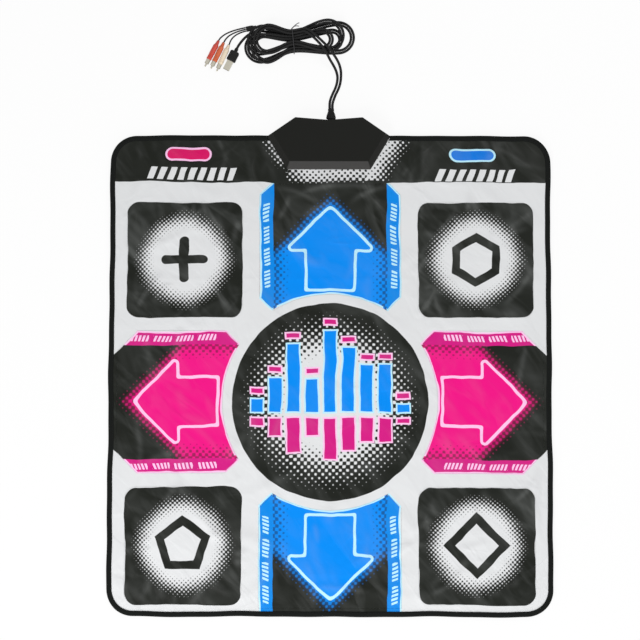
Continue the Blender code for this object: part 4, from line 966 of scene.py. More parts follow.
def panel_print(ink, x, y):
    """Four arrow panels with their strips, dots and arrows, on the white ground."""
    size_x, size_y = abs(x), abs(y)
    a, o = size_x.least(size_y), size_x.most(size_y)
    upright = size_y.above(size_x)
    main, strip, line = (mixed(upright, ink["Pink" + part], ink["Blue" + part])
                         for part in ("", " strip", " line"))
    root_two = sqrt(2)
    rear_limit = y.above(0.0) * (REAR_CHAMFER_SUM - NO_CHAMFER_SUM) + NO_CHAMFER_SUM
    limit = upright * rear_limit + (1 - upright) * SIDE_CHAMFER_SUM
    edge = (a - PANEL_HALF).most((a + o - limit) / root_two)
    edge = edge.most((TIP_DIFFERENCE - (o - a)) / root_two).most(RING_RADIUS - length_of(x, y))
    head_gap = (length_of(a, ARROW_APEX_ROUNDING) + o - ARROW_HEAD_SUM) / root_two
    beside = 1 - PANEL_SIDE_LOSS * ((a - PANEL_SIDE_START) / PANEL_SIDE_FADE).share()
    level = (PANEL_LEVEL - head_gap / PANEL_FADE).share().least(beside)
    dots = halftone(x, y, level, *PANEL_DOTS)
    gaps = mixed((0.36 - head_gap / 50).share().least(0.38), ink["Black"], main)
    spots = mixed((1 - head_gap / 30).share().most(0.25), ink["Black"], main)
    colour = mixed(dots, gaps, spots)
    tip_o = ARROW_HEAD_BASE + ARROW_TIP_ROUNDING
    tip_a = ARROW_HEAD_SUM - ARROW_TIP_ROUNDING * root_two - tip_o
    past_a, past_o = a - tip_a, o - tip_o
    at_tip = past_a.above(0.0) * (past_a - past_o).above(0.0)
    round_tip = length_of(past_a, past_o) - ARROW_TIP_ROUNDING
    head = at_tip * round_tip + (1 - at_tip) * head_gap.most(ARROW_HEAD_BASE - o)
    shaft = (a - ARROW_SHAFT_HALF).maths("SMOOTH_MAX", ARROW_SHAFT_END - o, ARROW_ROUNDING)
    shaft = shaft.most(o - ARROW_HEAD_BASE - 2 * ARROW_ROUNDING)
    arrow = head.maths("SMOOTH_MIN", shaft, ARROW_ROUNDING)
    colour = mixed(arrow.within(), colour, main)
    colour = mixed((abs(arrow) - ARROW_STROKE).within(), colour, line)
    on_strip = (STRIP_INNER - a).within()
    colour = mixed(on_strip, colour, strip)
    slanted = o + DASH_SLANT * (a - STRIP_MIDDLE)
    dash = (slanted / DASH_PITCH).fraction().below(0.6) * (o / DASH_GROUP).fraction().below(0.8)
    dash = dash * (abs(a - STRIP_MIDDLE) - DASH_HALF_WIDTH).within()
    dash = dash * (abs(o - DASHES_MIDDLE) - DASHES_REACH).within()
    colour = mixed(dash, colour, line)
    rim = (0 - PALE_LINE - edge).within() * on_strip.most(level.above(0.5))
    colour = mixed(rim, colour, line)
    return mixed(edge.within(), ink["White"], colour)


def header_print(ink, x, y, colour):
    """Black header with its slanted marks and the dots round the control box."""
    colour = mixed((HEADER_EDGE - y).within(), colour, ink["Black"])
    mat_y = y + LAYOUT_Y * MM
    off_box = x - BOX_CENTRE_X * MM
    behind_front = mat_y - BOX_FRONT_Y * MM
    past_corner = abs(off_box) - BOX_FRONT_WIDTH / 2 * MM
    beside = past_corner * BOX_SIDE_COS - behind_front * BOX_SIDE_SIN
    right = off_box.above(0.0)
    front_row = (0.60 + 0.40 * ((off_box + 78) / 40).share()) * FRONT_ROW_LEVEL
    front_row = front_row * (1 - 0.13 * ((off_box - 30) / 45).share())
    front_row = front_row + 0.011 * behind_front.least(0.0).most(-24.0)
    right_row = RIGHT_ROW_LEVEL - beside * RIGHT_ROW_FADE
    left_row = (1 - (beside / 18).share()) * LEFT_ROW_LEVEL * (behind_front / 12).share()
    side_row = right * right_row + (1 - right) * left_row
    is_side = (beside + 1).share() * behind_front.above(right * -16.0 - 4.0)
    level = is_side * side_row + (1 - is_side) * front_row.least(1 - (beside / 9).share())
    level = level.share() * ((y - HEADER_EDGE + 1) / 4).share()
    dots = halftone(x, y, level, *HALO_DOTS)
    colour = mixed(dots, colour, ink["White"])
    for middle, height, bars in HEADER_MARKS:
        up = mat_y - height
        half = (bars * MARK_PITCH - MARK_GAP) / 2
        across = x - middle - MARK_SLANT * up
        stripe = ((across + half) / MARK_PITCH).fraction().below(1 - MARK_GAP / MARK_PITCH)
        field = (abs(across) - half).within() * (abs(up) - MARK_HALF_HEIGHT).within()
        colour = mixed(stripe * field, colour, ink["White"])
    return colour


def field_print(ink, x, y, colour):
    """Round field with its dots, and the row of level bars across it."""
    r = length_of(x, y)
    glow, ring = ((r - radius) / fade for radius, fade in (DISC_GLOW, DISC_RING))
    level = (1 - glow).most(DISC_RING_LEVEL - ring).share()
    dots = halftone(x, y, level, *DISC_DOTS)
    field = mixed(dots, ink["Black"], ink["White"])
    bar = (x / BAR_PITCH).maths("ROUND")
    height = abs((bar * BAR_WAVE + BAR_PHASE).maths("COSINE"))
    height = height * (1 - SHORTEST_BAR) + SHORTEST_BAR
    height = height * (1 - BAR_TAPER * bar * bar) * TALLEST_BAR
    side = (abs(x - bar * BAR_PITCH) - BAR_HALF_WIDTH).most((abs(bar) - BARS / 2) * BAR_PITCH)
    upper = side.most(abs(y + UPPER_BAR_DROP - height / 2) - height / 2)
    lower = side.most(abs(y + LOWER_BAR_DROP + height / 4) - height / 4)
    cap = side.most(abs(y + UPPER_BAR_DROP - height - BAR_CAP_RISE) - BAR_CAP_HALF)
    for shape, line, fill in ((upper, "Blue line", "Blue"), (lower, "Pink line", "Pink strip"),
                              (cap, "Pink line", "Pink strip")):
        field = mixed((shape - PALE_LINE).within(), field, ink[line])
        field = mixed(shape.within(), field, ink[fill])
    return mixed((r - DISC_RADIUS).within(), colour, field)


def corner_print(ink, x, y, colour):
    """Four corner pads, each with a glow of dots and its own plain figure."""
    u = abs(x) - CORNER_PAD_ACROSS * MM
    w = (abs(y) - CORNER_PAD_ALONG * MM) * y.maths("SIGN")
    rounding = CORNER_PAD_RADIUS * MM
    inner = CORNER_PAD_SIZE * MM / 2 - rounding
    edge = length_of((abs(u) - inner).most(0.0), (abs(w) - inner).most(0.0)) - rounding
    round_gap = length_of(u, w)
    gap = round_gap * GLOW_ROUND_SHARE + (abs(u) + abs(w)) * GLOW_SQUARE_SHARE
    level = (1 - (gap - GLOW_RADIUS) / GLOW_FADE).share()
    pad = mixed(halftone(x, y, level, *GLOW_DOTS), ink["Black"], ink["White"])
    rear_left = y.above(0.0) * x.below(0.0)
    sides = 6 - y.below(0.0) - y.below(0.0) * x.above(0.0)
    turn = w.maths("ARCTAN2", u * x.maths("SIGN"))
    step = combined("DIVIDE", 2 * pi, sides)
    turn = turn - pi / 2 + step * 0.5
    folded = turn - step * (turn / step).maths("ROUND")
    figure = abs(round_gap * folded.maths("COSINE") - FIGURE_RADIUS) - FIGURE_HALF_LINE
    level_arm, upright_arm = (length_of((abs(one) - PLUS_REACH).most(0.0), two) - PLUS_HALF_LINE
                              for one, two in ((u, w), (w, u)))
    figure = rear_left * level_arm.least(upright_arm) + (1 - rear_left) * figure
    pad = mixed(figure.within(), pad, ink["Black"])
    return mixed(edge.within(), colour, pad)


def key_print(ink, x, y, colour):
    """Two capsule keys with pale outlines."""
    across = (abs(abs(x) - KEY_ACROSS * MM) - (KEY_LENGTH - KEY_WIDTH) / 2 * MM).most(0.0)
    up = (y - (KEY_Y - LAYOUT_Y) * MM - 1.0) * 1.1
    edge = length_of(across, up) - KEY_WIDTH / 2 * MM
    right = x.above(0.0)
    fill = mixed(right, ink["Select key"], ink["Start key"])
    line = mixed(right, ink["Pink line"], ink["Blue line"])
    colour = mixed((edge + KEY_MARGIN).within(), colour, line)
    return mixed((edge + KEY_MARGIN + KEY_LINE).within(), colour, fill)


def crease_group():
    """Soft folds and smears of thin vinyl, with a height and a mask of smears and painted light."""
    source, target = new_group(
        "vinyl_creases", [("Place", "NodeSocketVector", None)],
        [("Height", "NodeSocketFloat"), ("Smudge", "NodeSocketFloat")],
    )
    place = source.outputs["Place"]
    across, along, _ = axes(place)
    smears = []
    for turn, rates, low, sharp in VINYL_SMEARS:
        joined = place.id_data.nodes.new("ShaderNodeCombineXYZ")
        put((across * cos(turn) + along * sin(turn)) * rates[0], joined.inputs[0])
        put((along * cos(turn) - across * sin(turn)) * rates[1], joined.inputs[1])
        patch = noise_value(joined.outputs[0], 1.0, 2.0, 0.5, 0.9)
        smears.append(((patch - low) * sharp).share())
    broad = noise_value(place, 11.0, 2.0, 0.55, 0.8)
    where = ((noise_value(place, 7.0, 1.0) - 0.46) * 6).share()
    ridge = (1 - abs(broad - 0.5) * 12).share()
    small = noise_value(place, 30.0, 1.0, 0.5, 0.6)
    grain = noise_value(place, 700.0, 1.0)
    height = ridge * where * 0.45 + broad * 1.3 + small * 0.22 + smears[0] * 0.5 + smears[1] * 0.4
    # Mask of smears: sets painted highlights on black and painted shade on white, and lowers
    # roughness
    smear_and_painted_light = smears[0] * 0.5 + smears[1] * 0.42 + smears[2] * 0.34 + ridge * where * 0.16
    put(height + grain * 0.008, target.inputs["Height"])
    put(smear_and_painted_light.share(), target.inputs["Smudge"])


def weave_group():
    """Plain weave over a pair of coordinates, with a height and a thread tone."""
    source, target = new_group(
        "plain_weave",
        [("Place", "NodeSocketVector", None), ("Thread", "NodeSocketFloat", 0.0008)],
        [("Height", "NodeSocketFloat"), ("Tone", "NodeSocketFloat")],
    )
    thread = Number(source.outputs["Thread"])
    u, v = (axis / thread for axis in axes(source.outputs["Place"])[:2])
    over = ((u.maths("FLOOR") + v.maths("FLOOR")) * 0.5).fraction().above(0.25)
    warp = 1 - abs(u.fraction() - 0.5) * 2
    weft = 1 - abs(v.fraction() - 0.5) * 2
    tone = noise_value(source.outputs["Place"], 180.0, 2.0) * 0.5 + over * 0.12
    put((over * warp + (1 - over) * weft).maths("SQRT"), target.inputs["Height"])
    put(tone.share(), target.inputs["Tone"])


def grain_group():
    """Fine spark texture of moulded plastic or rubber, with a height and a wear mask."""
    source, target = new_group(
        "moulded_grain",
        [("Place", "NodeSocketVector", None), ("Scale", "NodeSocketFloat", 1.0)],
        [("Height", "NodeSocketFloat"), ("Wear", "NodeSocketFloat")],
    )
    place = scaled_place(source.outputs["Place"], source.outputs["Scale"])
    fine = noise_value(place, 1400.0, 2.0)
    broad = noise_value(place, 38.0, 3.0, 0.6)
    scuff = noise_value(scaled_place(place, (90.0, 700.0, 90.0)), 1.0, 2.0)
    wear = ((scuff - 0.62) * 8).share() * ((broad - 0.45) * 5).share()
    put(fine, target.inputs["Height"])
    put((wear * 0.7 + broad * 0.3).share(), target.inputs["Wear"])


def new_material(name):
    """Tree of a new material, with its Principled shader and the surface's own place."""
    if name in bpy.data.materials:
        raise RuntimeError(f"there is already a material named {name}")
    paint = bpy.data.materials.new(name)
    paint.use_nodes = True
    tree = paint.node_tree
    shader = tree.nodes["Principled BSDF"]
    return tree, shader, tree.nodes.new("ShaderNodeTexCoord").outputs["Object"]


def finished(shader, colour, roughness, specular=0.5):
    """Set or link a shader's colour, roughness and specular level."""
    put(colour, shader.inputs["Base Color"])
    put(roughness, shader.inputs["Roughness"])
    put(specular, shader.inputs["Specular IOR Level"])


def use_group(tree, name, **values):
    """Group node placed in a material with its inputs set or linked."""
    node = tree.nodes.new("ShaderNodeGroup")
    node.node_tree = bpy.data.node_groups[name]
    for label, value in values.items():
        put(value, node.inputs[label])
    return node


def bumped(shader, height, distance, strength):
    """Bump node from a height to the shader's normal."""
    node = shader.id_data.nodes.new("ShaderNodeBump")
    for label, value in (("Strength", strength), ("Distance", distance), ("Height", height)):
        put(value, node.inputs[label])
    put(node.outputs["Normal"], shader.inputs["Normal"])


def worn_colour(wear, colour, rate):
    """Colour that wear makes paler, up to a rate."""
    paler = tuple(min(value * rate + 0.004, 1) for value in colour)
    return mixed(wear, (*colour, 1), (*paler, 1))


def vinyl_material(colours):
    """Printed glossy vinyl: print, creases that catch light, painted highlights on the black along
    crests and smears, and painted shade on the white.
    """
    tree, shader, where = new_material("printed_vinyl")
    picture = use_group(tree, "mat_print", Place=where).outputs["Colour"]
    creases = use_group(tree, "vinyl_creases", Place=where)
    tone = tree.nodes.new("ShaderNodeRGBToBW")
    put(picture, tone.inputs[0])
    dark = (1 - Number(tone.outputs[0]) * 9).share()
    along = axes(where)[1]
    # Share of the painted highlights, changing along the mat
    highlight_along = 1
    for change, start, fade in (HIGHLIGHT_MORE_ALONG, HIGHLIGHT_LESS_ALONG):
        highlight_along = highlight_along + change * ((along - start) / fade).share()
    smear_and_painted_light = Number(creases.outputs["Smudge"])
    worn = tree.nodes.new("ShaderNodeAttribute")
    worn.attribute_name = CREST_LIGHT_ATTRIBUTE
    crest_light = Number(worn.outputs["Fac"])
    # Painted highlight: the black is painted paler along crease crests and smears, standing in for
    # gloss
    scuff = ((crest_light * (smear_and_painted_light * 0.9 + 0.25) + smear_and_painted_light * 0.75) * highlight_along).share()
    with_painted_highlights = mixed(dark * scuff, picture, (*colours.painted_highlight_black, 1))
    # Painted shade: the white is painted greyer along crease crests and smears
    with_painted_shade = mixed((1 - dark) * (smear_and_painted_light * 0.10 + crest_light * 0.10), with_painted_highlights, PAINTED_CREASE_SHADE)
    finished(shader, with_painted_shade, 0.40 - smear_and_painted_light * 0.08, 0.09)
    bumped(shader, creases.outputs["Height"], 0.0022, 0.55)


def cloth_material(name, colour, thread, sheen, uv=False):
    """Woven cloth on its own place or its own UV map."""
    tree, shader, where = new_material(name)
    if uv:
        where = tree.nodes.new("ShaderNodeUVMap").outputs["UV"]
    weave = use_group(tree, "plain_weave", Place=where, Thread=thread)
    tone = Number(weave.outputs["Tone"])
    finished(shader, worn_colour(tone * 0.5, colour, 2.6), 0.78 + tone * 0.15, 0.12)
    put(sheen, shader.inputs["Sheen Weight"])
    bumped(shader, weave.outputs["Height"], thread * 0.25, 0.7)


def moulded_material(name, colour, roughness, scale=1.0, specular=0.3, metallic=0.0,
                     worn=1.5, bump=0.00003):
    """Moulded plastic, rubber or metal with fine grain and light wear."""
    tree, shader, where = new_material(name)
    grain = use_group(tree, "moulded_grain", Place=where, Scale=scale)
    wear = Number(grain.outputs["Wear"])
    shade = worn_colour(wear * 0.8, colour, worn)
    finished(shader, shade, roughness - wear * 0.12 + 0.03, specular)
    put(metallic, shader.inputs["Metallic"])
    bumped(shader, grain.outputs["Height"], bump, 0.6)


def box_plastic_material(colours):
    """Smooth black plastic of the control box, with painted light on its front slope."""
    tree, shader, where = new_material("satin_box_plastic")
    grain = use_group(tree, "moulded_grain", Place=where)
    wear = Number(grain.outputs["Wear"])
    facing = axes(tree.nodes.new("ShaderNodeNewGeometry").outputs["Normal"])[1]
    # Painted light: faces turned to the front are painted paler, as if lit from the front
    front_light_share = ((0 - facing - 0.3) * 1.6).share()
    colour = mixed(wear * 0.5, (*colours.box, 1), (0.016, 0.016, 0.015, 1))
    colour = mixed(front_light_share, colour, (*colours.painted_front_light, 1))
    finished(shader, colour, 0.46 - wear * 0.12, 0.08)
    bumped(shader, grain.outputs["Height"], 0.00002, 0.5)


def foam_material():
    """Pale open-cell foam, with painted shade in the pits of its cells."""
    tree, shader, where = new_material("open_cell_foam")
    cells = tree.nodes.new("ShaderNodeTexVoronoi")
    put(where, cells.inputs["Vector"])
    put(900.0, cells.inputs["Scale"])
    depth = Number(cells.outputs["Distance"])
    # Painted shade: the pits of the cells are darker
    colour = mixed(depth.share(), (0.55, 0.54, 0.5, 1), (0.78, 0.77, 0.73, 1))
    finished(shader, colour, 0.9)
    bumped(shader, depth, 0.0003, 0.7)


def film_material():
    """Pale contact film with printed carbon tracks."""
    _, shader, where = new_material("contact_film")
    across, along, _ = axes(where)
    track = ((across + along) / TRACK_PITCH).fraction().below(0.35)
    stain = noise_value(where, 60.0)
    colour = mixed(track * (0.6 + stain * 0.4), (0.62, 0.64, 0.62, 1), (0.03, 0.03, 0.032, 1))
    finished(shader, colour, 0.28 + stain * 0.1)


def deselect():
    """Object mode with nothing selected."""
    if bpy.context.mode != "OBJECT":
        bpy.ops.object.mode_set(mode="OBJECT")
    bpy.ops.object.select_all(action="DESELECT")


def pick(obj):
    """Object mode with one object selected and active."""
    deselect()
    obj.select_set(True)
    bpy.context.view_layer.objects.active = obj


def linked(name, data):
    """New object in the scene that holds some data."""
    obj = bpy.data.objects.new(name, data)
    bpy.context.scene.collection.objects.link(obj)
    return obj


def face_outwards():
    """Turn every face of the active mesh outwards, and leave edit mode."""
    bpy.ops.object.mode_set(mode="EDIT")
    bpy.ops.mesh.select_all(action="SELECT")
    bpy.ops.mesh.normals_make_consistent(inside=False)
    bpy.ops.object.mode_set(mode="OBJECT")


def finish_piece(obj, name, paint, body="mat_body"):
    """Name a piece, give it its material and let it ride on a body."""
    obj.name = name
    obj.data.name = name
    obj.data.materials.clear()
    obj.data.materials.append(bpy.data.materials[paint])
    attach(obj, body)
    return obj


def apply_modifiers(obj):
    """Apply every modifier of a piece, in order."""
    pick(obj)
    for modifier in list(obj.modifiers):
        bpy.ops.object.modifier_apply(modifier=modifier.name)


def settle(obj):
    """Put a piece's place, turn and scale into its mesh."""
    pick(obj)
    bpy.ops.object.transform_apply(location=True, rotation=True, scale=True)


def sheet_piece(name, edge, holes, bottom, thickness, spacing, paint, body="mat_body", rise=None):
    """Thin cloth or vinyl sheet as a closed piece, raised from its flat lay where rise says."""
    spots, triangles = flat_sheet(edge, holes, spacing)
    heights = np.full(len(spots), bottom + thickness)
    # Mask of painted highlights on crease crests, zero where the sheet lies flat
    wear = np.zeros(len(spots))
    if rise:
        lift, wear = rise(spots)
        heights += lift
    mesh = bpy.data.meshes.new(name)
    mesh.from_pydata(np.column_stack([spots, heights]).tolist(), [], triangles.tolist())
    mesh.validate()
    worn = mesh.attributes.new(CREST_LIGHT_ATTRIBUTE, "FLOAT", "POINT")
    worn.data.foreach_set("value", wear.astype(np.float32))
    obj = linked(name, mesh)
    pick(obj)
    face_outwards()
    if mesh.polygons[0].normal.z < 0:
        mesh.flip_normals()
    walls = obj.modifiers.new("thickness", "SOLIDIFY")
    walls.thickness = thickness
    walls.offset = -1
    apply_modifiers(obj)
    bpy.ops.object.shade_smooth_by_angle(angle=SMOOTH_ANGLE)
    return finish_piece(obj, name, paint, body)


def drawn_outline(distance, width, height, sides, corner):
    """Flat face at a distance along +Z, left in edit mode: round with sides, else square."""
    deselect()
    if sides:
        bpy.ops.mesh.primitive_circle_add(
            vertices=sides, radius=0.5, fill_type="NGON", location=(0, 0, distance)
        )
    else:
        bpy.ops.mesh.primitive_plane_add(size=1, location=(0, 0, distance))
    bpy.ops.object.mode_set(mode="EDIT")
    bpy.ops.mesh.select_all(action="SELECT")
    bpy.ops.transform.resize(value=(width, height, 1))
    if corner:
        bpy.ops.mesh.bevel(offset=corner, segments=4, affect="VERTICES")
    return bpy.context.object


def extrude(distance):
    """Extrude what is selected along +Z."""
    bpy.ops.mesh.extrude_region_move(TRANSFORM_OT_translate={"value": (0, 0, distance)})


def drawn_piece(sections, sides=0, corner=0.0):
    """Closed piece drawn along +Z through sections of distance, width and height."""
    obj = drawn_outline(*sections[0], sides, corner)
    for before, after in zip(sections, sections[1:]):
        extrude(after[0] - before[0])
        bpy.ops.transform.resize(value=(after[1] / before[1], after[2] / before[2], 1))
    face_outwards()
    settle(obj)
    return obj


def round_sections(radii, flatness=1.0):
    """Sections of distance, width and height from distances and radii."""
    return [(along, 2 * radius, 2 * radius * flatness) for along, radius in radii]


def ring_grooves(start, pitch, count, radius_at, depth):
    """Distances and radii along a neck with evenly spaced grooves."""
    radii = []
    for ring in range(count):
        for step, drop in ((0.0, 0.0), (0.12, depth), (0.42, depth), (0.54, 0.0)):
            along = start + (ring + step) * pitch
            radii.append((along, radius_at(along) - drop))
    return radii


def laid_copy(pattern, name, paint, start, heading):
    """Copy of a piece drawn along +Z, with its own mesh, laid from a point in a direction."""
    pick(pattern)
    bpy.ops.object.duplicate()
    copy = bpy.context.object
    copy.location = start
    copy.rotation_euler = Vector(heading).to_track_quat("Z", "Y").to_euler()
    settle(copy)
    bpy.ops.object.shade_smooth_by_angle(angle=SMOOTH_ANGLE)
    return finish_piece(copy, name, paint)


def boss_holes():
    """Round holes of the sheet for the two front bosses of the box."""
    y = BOX_FRONT_Y + BOSS_FROM_FRONT
    return [circle(BOSS_HOLE_RADIUS, (BOX_CENTRE_X + side * BOSS_HALF_SPAN, y))
            for side in (-1, 1)]


def length_setting(name, description, default, low=0.0):
    """Setting in metres."""
    return FloatProperty(
        name=name, description=description, default=default, min=low, unit="LENGTH"
    )


def factor_setting(name, description, default, high):
    """Setting from 0 up to a limit."""
    return FloatProperty(
        name=name, description=description, default=default, min=0, max=high, subtype="FACTOR"
    )


def colour_setting(name, description, default):
    """Setting for a colour."""
    return FloatVectorProperty(
        name=name, description=description, default=default, min=0, max=1, subtype="COLOR"
    )


def power_setting(name, description, default):
    """Setting for a lamp's power."""
    return FloatProperty(name=name, description=description, default=default, unit="POWER")


class DanceMatSizes(bpy.types.PropertyGroup):
    """Sizes of the soft and added pieces."""

    cloth_spacing: length_setting(
        "Sheet spacing", "Distance between points of the printed sheet", 0.004, 0.002
    )
    crease_height: factor_setting(
        "Crease height", "Share of the full height of the creases", 1.0, 1.5
    )
    wave_height: length_setting("Wave height", "Height of the sheet's long low waves", 0.0012, 0)
    binding_wander: length_setting(
        "Binding wander", "How far the binding wanders out of line", 0.0026, 0
    )
    stitch_pitch: length_setting(
        "Stitch pitch", "Distance from stitch to stitch along the binding", 0.0048, 0.002
    )
    cord_diameter: length_setting("Cord diameter", "Diameter of the two long cords", 0.0049)
    lead_diameter: length_setting(
        "Lead diameter", "Diameter of the three thin leads", LEAD_DIAMETER
    )
    grip_rings: IntProperty(
        name="Grip rings", description="Rings round the neck of each round plug", default=5,
    )


class DanceMatColours(bpy.types.PropertyGroup):
    """Colours of the print, cloth, plastic and plugs."""

    white: colour_setting("White vinyl", "Ground of the print", (0.755, 0.765, 0.775))
    black: colour_setting("Black ink", "Black of the print", (0.0105, 0.0120, 0.0092))
    # Painted highlight colour of the black ink along creases and smears
    painted_highlight_black: colour_setting(
        "Highlight on black", "Black ink along its creases", (0.082, 0.087, 0.082)
    )
    blue: colour_setting("Blue ink", "Blue of the rear and front arrows", (0.0, 0.262, 0.905))
    blue_strip: colour_setting("Blue strip", "Blue of the side strips", (0.003, 0.250, 0.800))
    blue_line: colour_setting("Pale blue line", "Outline of blue shapes", (0.52, 0.86, 1.0))
    pink: colour_setting("Pink ink", "Pink of the left and right arrows", (0.88, 0.007, 0.240))
    pink_strip: colour_setting("Pink strip", "Pink of the side strips", (0.66, 0.013, 0.230))
    pink_line: colour_setting("Pale pink line", "Outline of pink shapes", (1.0, 0.58, 0.86))
    start_key: colour_setting("Right key", "Fill of the right key", (0.001, 0.192, 0.755))
    select_key: colour_setting("Left key", "Fill of the left key", (0.70, 0.007, 0.130))
    binding: colour_setting(
        "Binding cloth", "Black cloth strip round the edge", (0.0032, 0.0040, 0.0034)
    )
    underside: colour_setting("Underside cloth", "Grey cloth under the mat", (0.05, 0.05, 0.055))
    box: colour_setting("Box plastic", "Black plastic of the control box", (0.0098, 0.0102, 0.0088))
    # Painted light on the front slope of the box
    painted_front_light: colour_setting(
        "Painted front light", "Front slope of the control box", (0.062, 0.060, 0.058)
    )
    cord: colour_setting("Cord jacket", "Black jacket of the cords", (0.0125, 0.0125, 0.0125))
    red_plug: colour_setting("Red plug", "Moulded red plug", (0.60, 0.07, 0.045))
    yellow_plug: colour_setting(
        "Middle plug", "Moulded plug between the others", (0.62, 0.13, 0.045)
    )
    cream_plug: colour_setting("Cream plug", "Moulded cream plug", (0.85, 0.72, 0.55))


class DanceMatLight(bpy.types.PropertyGroup):
    """Camera and light of the stage."""

    lens: FloatProperty(
        name="Lens", description="Focal length in millimetres", default=85,
        subtype="DISTANCE_CAMERA", unit="CAMERA",
    )
    key_power: power_setting("Key lamp", "Power of the front lamp", 41)
    low_power: power_setting("Low lamp", "Power of the low front lamp", 45)
    fill_power: power_setting("Fill lamp", "Power of the rear lamp", 22)
    sky: factor_setting("Room light", "Strength of the even light from all round", 0.42, 1)
    floor_white: factor_setting(
        "Floor white", "Share of the floor's look that is plain white", 0.9, 1
    )


class DANCEMAT_OT_materials(bpy.types.Operator):
    """Make every material of the dance mat and give the frame's own pieces theirs"""

    bl_idname = "dancemat.materials"
    bl_label = "Materials"

    def execute(self, context):
        colours = context.scene.dance_mat_colours
        print_group(colours)
        crease_group()
        weave_group()
        grain_group()
        vinyl_material(colours)
        cloth_material("binding_cloth", tuple(colours.binding), 0.0007, 0.02, uv=True)
        cloth_material("underside_cloth", tuple(colours.underside), 0.0009, 0.1)
        moulded_material("stitch_thread", (0.012, 0.012, 0.013), 0.6, specular=0.15)
        box_plastic_material(colours)
        moulded_material("cord_jacket", tuple(colours.cord), 0.60, 2.0, 0.12)
        moulded_material("tie_strip", (0.035, 0.035, 0.037), 0.5, 2.0, 0.2)
        moulded_material("red_plug", tuple(colours.red_plug), 0.35, 2.0, 0.4, worn=1.15)
        moulded_material("yellow_plug", tuple(colours.yellow_plug), 0.35, 2.0, 0.4, worn=1.1)
        moulded_material("white_plug", tuple(colours.cream_plug), 0.35, 2.0, 0.4, worn=1.1)
        moulded_material("plug_plating", (0.50, 0.475, 0.40), 0.24, 2.0, 0.5, 1.0, 1.05, 0.00001)
        moulded_material("screw_plating", (0.45, 0.45, 0.46), 0.35, 2.0, 0.5, 1.0, 1.2, 0.00001)
        moulded_material("etched_board", (0.01, 0.09, 0.03), 0.4, 2.0, 0.5, worn=1.4)
        moulded_material("epoxy_chip", (0.01, 0.01, 0.01), 0.5, 2.0)
        moulded_material("header_nylon", (0.72, 0.70, 0.62), 0.4, 2.0, 0.5, worn=1.1)
        moulded_material("clamp_rubber", (0.10, 0.10, 0.10), 0.8)
        foam_material()
        film_material()
        for ending, name in KEPT_NODE_FINISHES:
            for node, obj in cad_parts.items():
                if node.endswith(ending):
                    for slot in obj.material_slots:
                        slot.material = bpy.data.materials[name]
        return {"FINISHED"}


class DANCEMAT_OT_stage(bpy.types.Operator):
    """Set the camera, lamps, floor and white surroundings"""

    bl_idname = "dancemat.stage"
    bl_label = "Stage"

    def execute(self, context):
        scene = context.scene
        light = scene.dance_mat_light
        scene.view_settings.view_transform = "Standard"
        deselect()
        bpy.ops.object.camera_add()
        scene.camera = context.object
        scene.camera.name = "photo_camera"
        scene.camera.data.lens = light.lens
        scene.camera.data.sensor_width = SENSOR_WIDTH
        tilt = Matrix.Rotation(CAMERA_TILT, 4, "X") @ Matrix.Rotation(CAMERA_ROLL, 4, "Z")
        scene.camera.matrix_world = Matrix.Translation(CAMERA_PLACE) @ tilt
        for setting, place, size in LAMPS:
            deselect()
            bpy.ops.object.light_add(type="AREA", location=place)
            lamp = context.object
            lamp.name = setting.replace("power", "lamp")
            lamp.data.energy = getattr(light, setting)
            lamp.data.size = size
            lamp.rotation_euler = (-Vector(place)).to_track_quat("-Z", "Y").to_euler()
        deselect()
        bpy.ops.mesh.primitive_plane_add(size=FLOOR_SIZE, location=(0, 0, FLOOR_Z))
        floor_piece = context.object
        floor_piece.name = "floor"
        floor_material(light)
        floor_piece.data.materials.append(bpy.data.materials["pale_floor"])
        settle(floor_piece)
        world = scene.world or bpy.data.worlds.new("room")
        scene.world = world
        world.use_nodes = True
        tree = world.node_tree
        tree.nodes.clear()
        room, seen = (tree.nodes.new("ShaderNodeBackground") for _ in range(2))
        for background in (room, seen):
            put((1, 1, 1, 1), background.inputs["Color"])
        put(light.sky, room.inputs["Strength"])
        out = tree.nodes.new("ShaderNodeOutputWorld")
        put(blended_shaders(seen_rays(tree), room, seen), out.inputs[0])
        return {"FINISHED"}


def blended_shaders(share, first, second):
    """Shader between the shaders of two nodes."""
    blend = share.socket.id_data.nodes.new("ShaderNodeMixShader")
    for slot, value in zip(blend.inputs, (share, first.outputs[0], second.outputs[0])):
        put(value, slot)
    return blend.outputs[0]


def seen_rays(tree):
    """1 for rays from the camera, from gloss or through glass, otherwise 0."""
    path = tree.nodes.new("ShaderNodeLightPath")
    camera, gloss, glass = (Number(path.outputs[f"Is {kind} Ray"])
                            for kind in ("Camera", "Glossy", "Transmission"))
    return camera.most(gloss).most(glass)


def floor_material(light):
    """Plain pale floor that looks white and keeps a faint shadow."""
    tree, shader, where = new_material("pale_floor")
    cloud = noise_value(where, 3.0)
    finished(shader, mixed(cloud, (0.93, 0.93, 0.93, 1), (0.95, 0.95, 0.95, 1)), 0.9, 0.0)
    across, along, _ = axes(where)
    near, fade = FLOOR_FADE
    far = ((length_of(across, along) - near) / fade).share()
    white = light.floor_white + far * (1 - light.floor_white)
    glow = tree.nodes.new("ShaderNodeEmission")
    put(blended_shaders(seen_rays(tree) * white, shader, glow),
        tree.nodes["Material Output"].inputs["Surface"])


